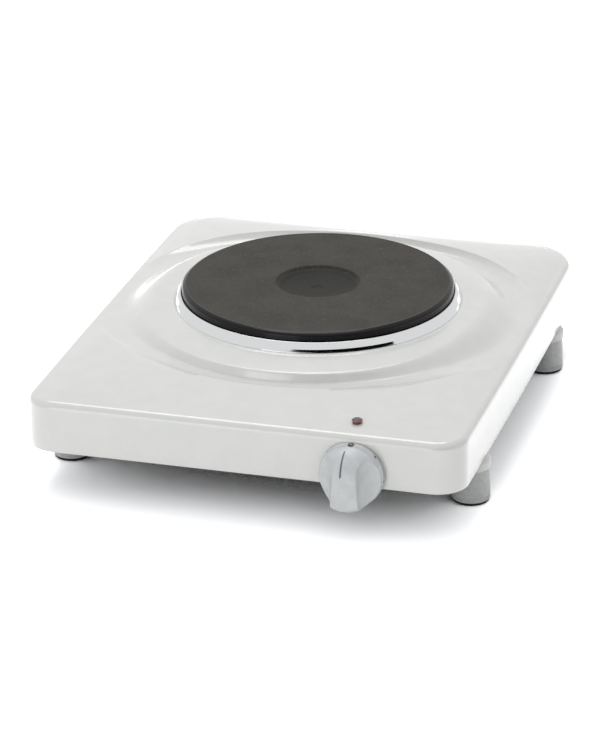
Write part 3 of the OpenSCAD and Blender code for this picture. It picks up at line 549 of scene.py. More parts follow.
@dataclass(frozen=True)
class CastPlate(Finish):
    """Cast iron burnt in with black polish: dull turned face, glossy black rim."""

    centre: tuple[float, float, float] = (0.0, 0.0, 0.0)
    face_r: float = 86.0
    dish_r: float = 27.5
    ring_mm: float = 1.6
    rim_roughness: float = 0.2

    def build(self) -> Material:
        """Draws the lathe's rings, worn tones, painted shade in the dish and the glossy rim."""
        material, tree, main = self.shader()
        away = off_axis(tree, self.centre)
        # Turning marks are 0.4 mm apart, but are drawn wider so that they show at this size
        rings = math_node(tree, "SINE", math_node(tree, "MULTIPLY", away, 2 * math.pi / self.ring_mm))
        grit = self.noise(tree, self.grain_mm, 6.0)
        clouds = self.noise(tree, 22.0, 4.0)
        tone = self.two_tone(tree, clouds, 0.35, 0.68)
        tone = mixed(tree, stepped(tree, grit, 0.56, 0.76), tone, linear("#5C5950"))
        # Painted shade: the recessed dish is drawn blacker than the face
        dish = stepped(tree, away, self.dish_r, self.dish_r - 3.0)
        tone = mixed(tree, math_node(tree, "MULTIPLY", dish, 0.75), tone, linear("#0A0A08"))
        rim = stepped(tree, away, self.face_r, self.face_r + 1.6)
        tone = mixed(tree, rim, tone, linear("#070707"))
        gloss = ranged(tree, rim, (0.0, 1.0), (self.roughness, self.rim_roughness))
        calm = math_node(tree, "SUBTRACT", 1.0, rim)
        rough = math_node(
            tree, "ADD", math_node(tree, "MULTIPLY", rings, 0.5), math_node(tree, "MULTIPLY", grit, 2.0)
        )
        relief = math_node(tree, "MULTIPLY", rough, calm)
        feed(main, tone, bumped(tree, relief, self.bump_mm), gloss)
        return material


@dataclass(frozen=True)
class Polished(Finish):
    """Pressed stainless steel, polished: a mirror with faint marks round the ring."""

    centre: tuple[float, float, float] = (0.0, 0.0, 0.0)

    def build(self) -> Material:
        """Adds hairline polishing marks that run round the ring."""
        material, tree, main = self.shader()
        away = off_axis(tree, self.centre)
        hairs = add_node(
            tree,
            "ShaderNodeTexNoise",
            {"W": 0.0, "Scale": 6.0, "Detail": 4.0},
            {"W": away},
            noise_dimensions="1D",
        )
        smear = ranged(tree, self.noise(tree, 9.0), (0.3, 0.7), (self.roughness, self.roughness * 2))
        feed(main, None, bumped(tree, hairs.outputs["Fac"], self.bump_mm, 0.4), smear)
        return material


@dataclass(frozen=True)
class Speckled(Finish):
    """Moulded thermoset with mineral filler: pale grey with fine darker specks."""

    speck: str = "#8C8F90"

    def build(self) -> Material:
        """Scatters specks in loose groups over the moulded colour."""
        material, tree, main = self.shader()
        cells = add_node(
            tree,
            "ShaderNodeTexVoronoi",
            {"Scale": 1.0 / self.grain_mm, "Randomness": 1.0},
            {"Vector": place_mm(tree)},
        )
        near = stepped(tree, cells.outputs["Distance"], 0.30, 0.12)
        some = stepped(tree, self.noise(tree, 2.2), 0.5, 0.62)
        dots = math_node(tree, "MULTIPLY", math_node(tree, "MULTIPLY", near, some), 0.55)
        base = self.two_tone(tree, self.noise(tree, 6.0), 0.35, 0.7)
        texture = bumped(tree, self.noise(tree, 0.7, 4.0), self.bump_mm)
        feed(main, mixed(tree, dots, base, linear(self.speck)), texture)
        return material


@dataclass(frozen=True)
class DialPlastic(Speckled):
    """The knob's speckled plastic, with its printed scale round the skirt."""

    axis: tuple[float, float] = (74.0, 41.2)
    skirt_y: float = -175.2
    mark_r: float = 20.2
    mark_depth: float = 2.6
    step_deg: float = 48.0
    steps_each_way: int = 3
    zero_r: float = 2.2
    dot_r: float = 1.0
    line_x: float = -2.3
    line_z: float = 12.0
    line_half: float = 6.4

    def build(self) -> Material:
        """Prints a nought at the top of the skirt and plain dots beside it, and draws the pointer's line
        darker.
        """
        material = super(DialPlastic, self).build()
        tree, main, tint = opened(material)
        for step in range(-self.steps_each_way, self.steps_each_way + 1):
            turn = math.radians(step * self.step_deg)
            x = self.axis[0] + self.mark_r * math.sin(turn)
            z = self.axis[1] + self.mark_r * math.cos(turn)
            away = length_of(tree, place_mm(tree, (x, self.skirt_y - self.mark_depth, z)))
            size = self.dot_r if step else self.zero_r
            ink = stepped(tree, away, size + 0.25, size - 0.15)
            if not step:
                ink = math_node(tree, "MULTIPLY", ink, stepped(tree, away, 0.35, 0.8))
            tint = mixed(tree, ink, tint, linear("#3C3C3E"))
        # The pointer's groove is drawn a darker grey
        middle = place_mm(tree, (self.axis[0] + self.line_x, 0.0, self.axis[1] + self.line_z))
        groove = add_node(tree, "ShaderNodeSeparateXYZ", links={0: middle}).outputs
        across = stepped(tree, math_node(tree, "ABSOLUTE", groove["X"]), 0.65, 0.35)
        reach = math_node(tree, "ABSOLUTE", groove["Z"])
        along = stepped(tree, reach, self.line_half + 0.2, self.line_half)
        feed(main, mixed(tree, math_node(tree, "MULTIPLY", across, along), tint, linear("#6E6D74")))
        return material


@dataclass(frozen=True)
class FootPlastic(Finish):
    """Moulded feet: grey below, with a paler collar under the casing."""

    collar: str = "#DADAD7"
    collar_z: float = 23.0

    def build(self) -> Material:
        """Splits the colour at the collar's lower edge."""
        material = super(FootPlastic, self).build()
        tree, main, tint = opened(material)
        height = add_node(tree, "ShaderNodeSeparateXYZ", links={"Vector": place_mm(tree)}).outputs["Z"]
        above = stepped(tree, height, self.collar_z - 0.1, self.collar_z + 0.3)
        feed(main, mixed(tree, above, tint, linear(self.collar)))
        return material


@dataclass(frozen=True)
class Lacquer(Finish):
    """Stoved lacquer on steel: a satin coat with dust nibs."""

    def build(self) -> Material:
        """Adds a thin clear coat over the mottled colour."""
        material = super(Lacquer, self).build()
        coated(opened(material)[1], 0.3, 0.3)
        return material


@dataclass(frozen=True)
class Plated(Finish):
    """Plated or bare metal: cloudy tone, smeared gloss and fine scratches."""

    def build(self) -> Material:
        """Adds scratches that run one way to the mottled metal."""
        material = super(Plated, self).build()
        tree, main, _ = opened(material)
        stretched = add_node(
            tree, "ShaderNodeMapping", {"Scale": (0.25, 4.0, 4.0)}, {"Vector": place_mm(tree)}
        )
        hairs = add_node(
            tree,
            "ShaderNodeTexNoise",
            {"Scale": 1.0, "Detail": 5.0, "Roughness": 0.7},
            {"Vector": stretched.outputs["Vector"]},
        )
        feed(main, normal=bumped(tree, hairs.outputs["Fac"], 0.012))
        return material


@dataclass(frozen=True)
class Ceramic(Finish):
    """Fired steatite with a thin glaze and sparse iron specks."""

    speck: str = "#7B6A52"

    def build(self) -> Material:
        """Adds specks under a clear glaze."""
        material = super(Ceramic, self).build()
        tree, main, tint = opened(material)
        cells = add_node(tree, "ShaderNodeTexVoronoi", {"Scale": 0.5}, {"Vector": place_mm(tree)})
        dots = stepped(tree, cells.outputs["Distance"], 0.16, 0.08)
        feed(main, mixed(tree, dots, tint, linear(self.speck)))
        coated(main, 0.5, 0.15)
        return material


@dataclass(frozen=True)
class Waxy(Finish):
    """Unfilled nylon: light sinks a little way in."""

    def build(self) -> Material:
        """Adds shallow scattering to the mottled colour."""
        material = super(Waxy, self).build()
        main = material.node_tree.nodes["Principled BSDF"]
        main.inputs["Subsurface Weight"].default_value = 0.2
        main.inputs["Subsurface Scale"].default_value = 1.5 * MM
        return material


@dataclass(frozen=True)
class Bulb(Finish):
    """A small glass envelope with a faint smoky cloud."""

    def build(self) -> Material:
        """Lets light through and clouds it slightly."""
        material, tree, main = self.shader()
        main.inputs["Transmission Weight"].default_value = 0.85
        smoke = stepped(tree, self.noise(tree, 2.5), 0.4, 0.8)
        tone = mixed(tree, smoke, linear(self.colour), linear("#C9A98C"))
        feed(main, tone, bumped(tree, self.noise(tree, 1.5), 0.01))
        return material


@dataclass(frozen=True)
class Braid(Finish):
    """Glass-fibre sleeving: two sets of crossing ridges under a thin varnish."""

    def build(self) -> Material:
        """Crosses two waves at the braid's pitch and colours their valleys."""
        material, tree, main = self.shader()
        ridges = [
            math_node(tree, "ABSOLUTE", along_line(tree, direction, math.pi / self.grain_mm))
            for direction in ((1.0, 1.0, 0.6), (1.0, -1.0, -0.6))
        ]
        weave = math_node(tree, "MULTIPLY", *ridges)
        tone = mixed(tree, weave, linear(self.second), linear(self.colour))
        feed(main, tone, bumped(tree, weave, 0.12))
        return material


@dataclass(frozen=True)
class Striped(Finish):
    """Two-colour insulation: the stripe winds slowly round the lead."""

    stripe_mm: float = 3.0

    def build(self) -> Material:
        """Alternates the two colours across the lead."""
        material, tree, main = self.shader()
        wave = along_line(tree, (0.7, 0.5, 1.0), 2 * math.pi / self.stripe_mm)
        feed(main, self.two_tone(tree, wave, -0.1, 0.1), bumped(tree, self.noise(tree, 0.8), 0.02))
        return material


@dataclass(frozen=True)
class LensPlastic(Finish):
    """Clear red acrylic over a dark bore, with a pale lit edge."""

    centre: tuple[float, float, float] = (0.0, 0.0, 0.0)
    core_r: float = 2.6

    def build(self) -> Material:
        """Darkens the lens's middle and leaves a pale pink edge."""
        material, tree, main = self.shader()
        away = off_axis(tree, self.centre)
        feed(main, self.two_tone(tree, away, self.core_r - 0.2, self.core_r + 0.3))
        coated(main, 0.6)
        return material


# ---------------------------------------------------------------- the casing


@dataclass
class Casing:
    """The enamelled housing, pressed from one sheet."""

    width: float = 285.0
    depth: float = 348.0
    wall_h: float = 33.5
    sheet: float = 1.0
    corner_r: float = 20.0
    rear_corner_r: float = 38.0
    rim_r: float = 5.0
    bow: float = 0.8
    draft: float = 0.25
    crown_front: float = 3.5
    crown_rear: float = 9.5
    crown_power: float = 6.0
    boss_h: float = 45.0
    boss_r: float = 119.0
    boss_taper: float = 11.0
    boss_fall: float = 3.5
    fall_fade: float = 1.25
    fall_start: float = 97.0
    boss_slope: float = 3.2
    boss_spread: float = 11.0
    lens_r: float = 160.0
    lens_shift: float = 28.0
    lens_wall: float = 16.0
    lens_front: float = 1.6
    lens_rear: float = 5.5
    bead_h: float = 0.5
    bead_w: float = 1.5
    plate_y: float = 10.7
    opening_r: float = 90.5
    corner_steps: int = 22
    side_steps: int = 70

    def outline(self, inset: float) -> Array:
        """The casing's outline, inset from its wall, as an array of (x, y)."""
        half = np.array([self.width / 2, self.depth / 2])
        signs = ((1, 1, 0), (-1, 1, 90), (-1, -1, 180), (1, -1, 270))
        corners = []
        for sx, sy, start in signs:
            a = np.radians(start + np.linspace(0, 90, self.corner_steps + 1))
            r = self.rear_corner_r if sy > 0 else self.corner_r
            middle = np.array([sx, sy]) * (half - r)
            corners.append(middle + (r - inset) * np.stack([np.cos(a), np.sin(a)], 1))
        rows = []
        for k, corner in enumerate(corners):
            rows.append(corner)
            start, end = corner[-1], corners[(k + 1) % 4][0]
            t = np.linspace(0, 1, self.side_steps + 1)[1:-1, None]
            side = start + (end - start) * t
            if k % 2:
                side[:, 0] += np.sign(side[:, 0]) * self.bow * (1 - (2 * t[:, 0] - 1) ** 2)
            rows.append(side)
        return np.concatenate(rows)

    def falloff(self, value: Array, half: float) -> Array:
        """How much of the crown is left at a distance from the middle."""
        return 1 - np.minimum(np.abs(value) / (half - self.rim_r), 1) ** self.crown_power

    def crown(self, x: Array, y: Array) -> Array:
        """Rise of the crowned top above the rim."""
        t = (y + self.depth / 2) / self.depth
        height = self.crown_front + (self.crown_rear - self.crown_front) * t * t * (3 - 2 * t)
        half_x = self.width / 2 + self.bow
        return height * self.falloff(x, half_x) * self.falloff(y, self.depth / 2)

    def top_rows(self, edge: Array) -> list[Array]:
        """Rows of points over the top, from the opening to the rim.

        Args:
            edge: outline points where the top meets the bend.

        Returns:
            Arrays of (x, y, z above the casing's bottom edge).
        """
        centre = np.array([0.0, self.plate_y])
        reach = np.linalg.norm(edge - centre, axis=1)
        u = (edge - centre) / reach[:, None]
        side = np.abs(u[:, 0]) ** 4
        r_boss = self.boss_r - self.boss_taper * side
        r_foot = r_boss + self.boss_slope + (self.boss_taper + self.boss_spread) * side
        span = self.lens_r**2 - self.lens_shift**2
        r_edge = np.sqrt((self.lens_shift * u[:, 1]) ** 2 + span) - self.lens_shift * np.abs(u[:, 1])
        inner_edge = np.minimum(r_edge, reach - 1.0)
        wall = np.minimum(self.lens_wall, r_edge - r_foot - 1)
        start = np.minimum(r_edge - wall, inner_edge - 1.0)
        t = (1 + u[:, 1]) / 2
        depth = self.lens_front + (self.lens_rear - self.lens_front) * t * t * (3 - 2 * t)

        def height(r: Array) -> tuple[Array, Array]:
            """Spot and height of the top outside the boss, at distance r."""
            p = centre + u * r[:, None]
            inside = np.clip((r_edge - r) / wall, 0, 1)
            keep = self.falloff(p[:, 0], self.width / 2 + self.bow)
            sunk = depth * keep
            z = self.wall_h + self.crown(p[:, 0], p[:, 1]) - sunk * (1 - (1 - inside) ** 3)
            # The die leaves a slight bead along the pressing's edge
            z = z + self.bead_h * keep * np.exp(-(((r - r_edge - self.bead_w) / self.bead_w) ** 2))
            return p, z

        rows = []
        z_boss = self.boss_h - self.boss_fall * np.maximum(1 - self.fall_fade * side, 0)
        for r in np.linspace(self.opening_r, self.fall_start, 4)[:-1]:
            rows.append(levelled(centre + u * r, self.boss_h))
        for t in np.linspace(0, 1, 9)[:-1]:
            r = self.fall_start + (r_boss - self.fall_start) * t
            rows.append(levelled(centre + u * r[:, None], self.boss_h + (z_boss - self.boss_h) * t))
        _, z_foot = height(r_foot)
        for t in np.linspace(0, 1, 17):
            p = centre + u * (r_boss + (r_foot - r_boss) * t)[:, None]
            ease = t * t * (3 - 2 * t)
            rows.append(levelled(p, z_boss - (z_boss - z_foot) * ease))
        spans = ((r_foot, start, 4), (start, inner_edge, 14), (inner_edge, reach, 12))
        for low, high, steps in spans:
            for t in np.linspace(0, 1, steps + 1)[1:]:
                rows.append(levelled(*height(low + (high - low) * t)))
        return rows

    def build(self, enamel: Material) -> Object:
        """Builds the shell: top, bend, walls, rolled bottom edge and inside."""
        edge, out = self.outline(self.rim_r), self.outline(0.0)
        n = (out - edge) / np.linalg.norm(out - edge, axis=1)[:, None]
        top = self.top_rows(edge)

        def skin(thick: float) -> list[Array]:
            """One side of the sheet, from the opening down to the bottom edge."""
            rows = [row - np.array([0, 0, thick]) for row in top[:-1]]
            bend = self.rim_r - thick
            for a in np.linspace(0, math.pi / 2, 11):
                z = self.wall_h - self.rim_r + bend * math.cos(a)
                rows.append(levelled(edge + n * bend * math.sin(a), z))
            for t in (0.1, 0.4, 0.8, 1.0):
                z = (self.wall_h - self.rim_r) * (1 - t) + 0.5 * t
                rows.append(levelled(edge + n * (bend + self.draft * t), z))
            return rows

        outside, inside = skin(0.0), skin(self.sheet)
        hem = []
        for a in np.linspace(0, math.pi, 6)[1:-1]:
            reach = self.rim_r + self.draft - self.sheet / 2 + self.sheet / 2 * math.cos(a)
            hem.append(levelled(edge + n * reach, 0.5 - 0.5 * math.sin(a)))
        rows = np.stack(outside + hem + inside[::-1])
        rows[..., 2] += RIDE
        made = piece("housing_shell", *banded(rows, closed=True), enamel)
        return dressed(made, Body.CASING, ["top_housing"])


@dataclass
class CookingPlate:
    """The cast-iron plate and the pressed ring that catches overflow."""

    radius: float = 90.0
    rise: float = 11.5
    rim_t: float = 6.2
    body_t: float = 9.3
    dish_r: float = 27.5
    dish_depth: float = 4.5
    boss_h: float = 45.0
    plate_y: float = 10.7
    body_r: float = 86.0

    def place(self) -> Matrix:
        """Moves a turned shape to the plate's axis."""
        return Matrix.Translation((0, self.plate_y, 0))

    @property
    def face(self) -> float:
        """Height of the cooking face above the table."""
        return RIDE + self.boss_h + self.rise

    def build_plate(self, iron: Material) -> Object:
        """Turns the plate with its rounded rim, unheated dish and centre dimple."""
        f, under = self.face, self.face - self.rim_t
        low = under - self.body_t
        profile = eased(
            [
                (0, low),
                (self.body_r, low, 1.0),
                (self.body_r, under),
                (self.radius - 0.6, under, 0.4),
                (self.radius, under + 1.0, 0.5),
                (self.radius, f - 2.2, 1.2),
                (self.radius - 0.9, f - 0.9, 1.0),
                (self.radius - 2.6, f, 1.2),
                (self.radius - 4.4, f - 0.12, 0.5),
                (self.dish_r + 0.7, f - 0.04, 0.5),
                (self.dish_r - 1.0, f - 1.9, 0.7),
                (self.dish_r - 4.5, f - 3.2, 3.0),
                (self.dish_r * 0.55, f - self.dish_depth + 0.12, 6.0),
                (4.6, f - self.dish_depth, 1.6),
                (2.4, f - self.dish_depth - 0.7, 0.9),
                (0, f - self.dish_depth - 0.8),
            ],
            5,
        )
        made = piece("plate_casting", *turned(profile, 256), iron, self.place(), 40)
        return dressed(made, Body.CASING, ["cooking_plate"])

    def build_ring(self, steel: Material) -> Object:
        """Turns the overflow ring: a rolled lip, a sloping skirt and a foot."""
        top, base = self.face - self.rim_t, RIDE + self.boss_h
        lip = self.radius + 0.2
        profile = eased(
            [
                (self.body_r + 0.1, top - 0.2),
                (lip, top - 0.1, 0.3),
                (lip + 0.2, top + 0.75, 0.5),
                (lip + 1.3, top + 0.75, 0.7),
                (lip + 2.6, top - 0.6, 1.6),
                (lip + 4.2, base + 2.2, 2.2),
                (lip + 5.0, base + 0.7, 0.8),
                (lip + 5.4, base + 0.02, 0.3),
                (lip + 3.6, base + 0.02, 0.3),
                (lip + 2.7, base + 1.2, 0.8),
                (lip + 1.2, top - 1.9, 0.8),
                (lip + 0.3, top - 0.9, 0.5),
                (self.body_r + 0.1, top - 0.9),
            ],
            6,
        )
        made = piece("overflow_ring_steel", *turned(profile, 320), steel, self.place(), 60)
        return dressed(made, Body.CASING, ["overflow_ring"])


@dataclass
class Knob:
    """The moulded regulator knob: a domed disc, scooped on both sides of a blunt grip."""

    x: float = 74.0
    z: float = 9.2
    wall_y: float = -174.0
    radius: float = 20.6
    length: float = 20.5
    gap: float = 1.2
    skirt: float = 5.0
    dome_flat: float = 3.5
    dome_r: float = 16.0
    scoop_r: float = 12.5
    scoop_x: float = 20.0
    scoop_top: float = 8.6
    scoop_rise: float = 18.1
    splay_deg: float = 4.5
    line_x: float = -2.3
    line_top: float = 19.2
    line_low: float = 5.2
    blend: float = 1.8

    def place(self) -> Matrix:
        """Turns the knob's own axis from +Z to the front."""
        spot = Matrix.Translation((self.x, self.wall_y - self.gap, RIDE + self.z))
        return spot @ Matrix.Rotation(math.pi / 2, 4, "X")

    def soft_min(self, a: Array, b: Array, blend: float) -> Array:
        """The lower of two heights, with the crease between them rounded."""
        h = np.clip(0.5 + 0.5 * (b - a) / blend, 0, 1)
        return b * (1 - h) + a * h - blend * h * (1 - h)

    def soft_max(self, a: Array, b: Array, blend: float) -> Array:
        """The higher of two heights, with the crease between them rounded."""
        return -self.soft_min(-a, -b, blend)

    def scoop(self, x: Array, y: Array) -> Array:
        """Height of the two finger scoops: round-ended troughs that spread downwards."""
        lean = math.radians(self.splay_deg)
        across, down = np.abs(x) - self.scoop_x, self.scoop_top - y
        along = np.maximum(down * math.cos(lean) + across * math.sin(lean), 0.0)
        off = np.hypot(across - along * math.sin(lean), down - along * math.cos(lean))
        deep = np.sqrt(np.maximum(self.scoop_r**2 - off**2, 0.0))
        steep = (off - self.scoop_r) * 6.0
        return np.where(off < self.scoop_r, self.scoop_rise - deep, self.scoop_rise + steep)

    def height(self, x: Array, y: Array) -> Array:
        """Height of the knob's front above its back, over its disc."""
        r = np.hypot(x, y)
        rim = self.radius
        crest = self.skirt + 0.3
        disc = np.interp(r, [0, rim - 1.5, rim - 0.8, rim], [crest, crest, self.skirt, 1.2])
        t = np.clip((r - self.dome_flat) / self.dome_r, 0, 1)
        dome = self.skirt - 1 + (self.length - self.skirt + 1) * np.sqrt(1 - t * t)
        tail = np.interp(
            r,
            [0, rim - 5.0, rim - 3.4, rim - 2.2, rim - 1.3, rim - 0.7, rim - 0.5],
            [self.length, self.length, self.length - 0.8, self.length - 2.4, 14.5, self.skirt, 0.0],
        )
        low = np.clip((4.0 - y) / 9.0, 0, 1)
        low = low * low * (3 - 2 * low)
        body = dome + np.maximum(tail - dome, 0) * low
        body = self.soft_min(body, self.scoop(x, y), self.blend)
        made = self.soft_max(body, disc, 0.7)
        span = np.clip((y - self.line_low) / 0.8, 0, 1) * np.clip((self.line_top - y) / 0.8, 0, 1)
        return made - 0.7 * np.clip(1.4 - np.abs(x - self.line_x) / 0.5, 0, 1) * span

    def build(self, plastic: Material) -> Object:
        """Lofts the front as a height over the disc and closes it with a hollow back."""
        segments, rings = 360, 110
        a = np.linspace(0, 2 * math.pi, segments, endpoint=False)
        rows = []
        for t in np.linspace(0.004, 1, rings):
            r = self.radius * (1 - (1 - t) ** 1.35)
            x, y = r * np.cos(a), r * np.sin(a)
            rows.append(hoop(r, a, np.maximum(self.height(x, y), 1.2)))
        back = (
            (self.radius, 0.3),
            (self.radius - 0.3, 0.0),
            (self.radius - 2.3, 0.0),
            (self.radius - 2.5, 2.7),
            (6.2, 2.7),
            (6.0, 0.3),
            (3.2, 0.3),
            (3.1, 12.0),
            (0.05, 12.0),
        )
        rows += [hoop(r, a, z) for r, z in back]
        made = piece("knob_moulding", *capped(rows), plastic, self.place(), 50)
        return dressed(made, Body.KNOB, ["control_knob"])


@dataclass
class Feet:
    """The four moulded feet and their rubber pads."""

    radius: float = 11.8
    x: float = 133.0
    y: float = 107.5
    collar: float = 9.0
    pad: float = 2.0

    def profile(self) -> list[tuple[float, float]]:
        """Section of a foot, from its hollow underside to its rounded shoulder."""
        r, top = self.radius, RIDE
        return eased(
            [
                (2.2, 12.0),
                (4.4, 12.0, 0.6),
                (4.4, self.pad + 0.02),
                (r + 0.3, self.pad + 0.02, 0.3),
                (r + 0.5, self.pad + 1.4, 0.5),
                (r - 0.1, self.pad + 1.9, 0.3),
                (r - 0.1, self.pad + 2.7, 0.3),
                (r + 0.4, self.pad + 3.2, 0.6),
                (r - 0.2, top - self.collar, 0.3),
                (r + 0.4, top - self.collar + 0.5, 0.4),
                (r + 0.5, top - 3.2, 2.4),
                (r - 1.8, top - 0.1, 1.8),
                (2.2, top - 0.1),
            ],
            5,
        )

    def build(self, plastic: Material, rubber: Material) -> None:
        """Turns one foot and one pad, and sets them at the four corners."""
        places = four(self.x, self.y, 0.0)
        made = set_at("foot_mouldings", turned(self.profile(), 96), places, plastic)
        dressed(made, Body.CASING, ["feet"])
        r = self.radius
        pad = turned(
            eased(
                [
                    (4.5, 0.0, 0.3),
                    (r - 0.5, 0.0, 0.5),
                    (r + 0.25, self.pad, 0.2),
                    (r - 2.0, self.pad),
                    (r - 2.4, self.pad - 0.1),
                    (4.5, self.pad),
                ],
                4,
            ),
            96,
        )
        made = set_at("foot_rubbers", pad, places, rubber)
        dressed(made, Body.CASING, ["foot_pads"])


@dataclass
class PilotLamp:
    """The pilot lamp's lens."""

    x: float = 72.0
    y: float = -156.0
    top: float = 68.0
    radius: float = 3.0

    def build(self, lens: Material) -> Object:
        """Turns the domed lens with its flange and hollow stem."""
        r = self.radius
        profile = eased(
            [
                (0, 0.0),
                (r - 0.8, 0.0),
                (r - 0.8, -6.0),
                (r, -6.0),
                (r, 0.2),
                (r + 0.5, 0.25, 0.1),
                (r + 0.5, 0.7, 0.3),
                (r - 0.2, 1.2, 0.6),
                (1.2, 1.4, 0.8),
                (0, 1.42),
            ],
            4,
        )
        place = Matrix.Translation((self.x, self.y, self.top))
        made = piece("pilot_lamp_lens", *turned(profile, 48), lens, place)
        return dressed(made, Body.CASING, ["pilot_lens"])


@dataclass
class PanScrews:
    """The eight cross-headed screws that hold the base pan to the housing's tabs."""

    side_x: float = 134.2
    side_y: float = 46.0
    end_x: float = 22.0
    end_y: float = 165.0
    shank_r: float = 1.75
    length: float = 7.0
    head_r: float = 3.6
    head_h: float = 2.2
    recess: float = 1.2
    pitch: float = 1.1

    def shape(self) -> tuple[list, list]:
        """One screw: a domed head with a cross recess and a threaded shank."""
        steps = 64
        a = np.linspace(0, 2 * math.pi, steps, endpoint=False)
        rows = []
        for t in np.linspace(0.01, 1, 18):
            r = self.head_r * math.sin(t * math.pi / 2)
            x, y = r * np.cos(a), r * np.sin(a)
            dome = -self.head_h * (0.35 + 0.65 * math.sqrt(max(0.0, 1 - (r / self.head_r) ** 2)))
            arm = np.minimum(np.abs(x), np.abs(y))
            reach = np.maximum(np.abs(x), np.abs(y))
            cross = np.clip((0.75 - arm) / 0.3, 0, 1) * np.clip((2.3 - reach) / 0.5, 0, 1)
            rows.append(hoop(r, a, dome + self.recess * cross))
        rows.append(hoop(self.head_r, a, 0.0))
        turns = int(self.length / self.pitch)
        for k in range(2 * turns):
            r = self.shank_r - (0.3 if k % 2 else 0.0)
            rows.append(hoop(r, a, 0.02 + k * self.pitch / 2))
        return capped(rows)

    def build(self, zinc: Material) -> Object:
        """Sets the screw at all eight tabs."""
        places = four(self.side_x, self.side_y, RIDE) + four(self.end_x, self.end_y, RIDE)
        made = set_at("pan_screw_set", self.shape(), places, zinc)
        return dressed(made, Body.CASING, ["pan_screws"])


@dataclass
class InletGland:
    """The moulded gland that lines the mains inlet: a ribbed collar on a thread."""

    x: float = -92.0
    wall_y: float = 174.0
    z: float = RIDE + 33.5 / 2
    radius: float = 8.5
    reach: float = 4.0
    bore: float = 3.5
    inner: float = 9.0
    thread_r: float = 6.5
    rib_count: int = 24

    def build(self, nylon: Material) -> Object:
        """Turns the gland and cuts finger ribs round its collar."""
        steps = self.rib_count * 8
        a = np.linspace(0, 2 * math.pi, steps, endpoint=False)
        ribs = 0.35 * np.clip(np.cos(self.rib_count * a) * 1.6, -1, 1)
        r, out = self.radius - 0.4, self.reach
        section = [
            (self.bore, -self.inner - 1.0, 0),
            (self.bore, out - 1.0, 0),
            (self.bore + 0.9, out, 0),
            (r - 2.2, out, 0),
            (r - 1.6, out - 0.3, 0),
            (r - 1.0, out - 0.9, 1),
            (r - 0.1, 0.7, 1),
            (r, 0.3, 0),
            (r, 0.02, 0),
            (self.thread_r, 0.02, 0),
        ]
        turns = 8
        for k in range(2 * turns + 1):
            depth = 0.0 if k % 2 else 0.45
            section.append((self.thread_r - depth, -0.2 - k * (self.inner + 0.6) / (2 * turns), 0))
        section.append((self.thread_r - 0.6, -self.inner - 1.0, 0))
        rows = np.stack([hoop(radius + ribs * ribbed, a, y) for radius, y, ribbed in section])
        spot = Matrix.Translation((self.x, self.wall_y, self.z))
        place = spot @ Matrix.Rotation(-math.pi / 2, 4, "X")
        made = piece("inlet_gland_moulding", *banded(rows, closed=True), nylon, place)
        return dressed(made, Body.CASING, ["cable_gland"])


# ---------------------------------------------------------------- studio


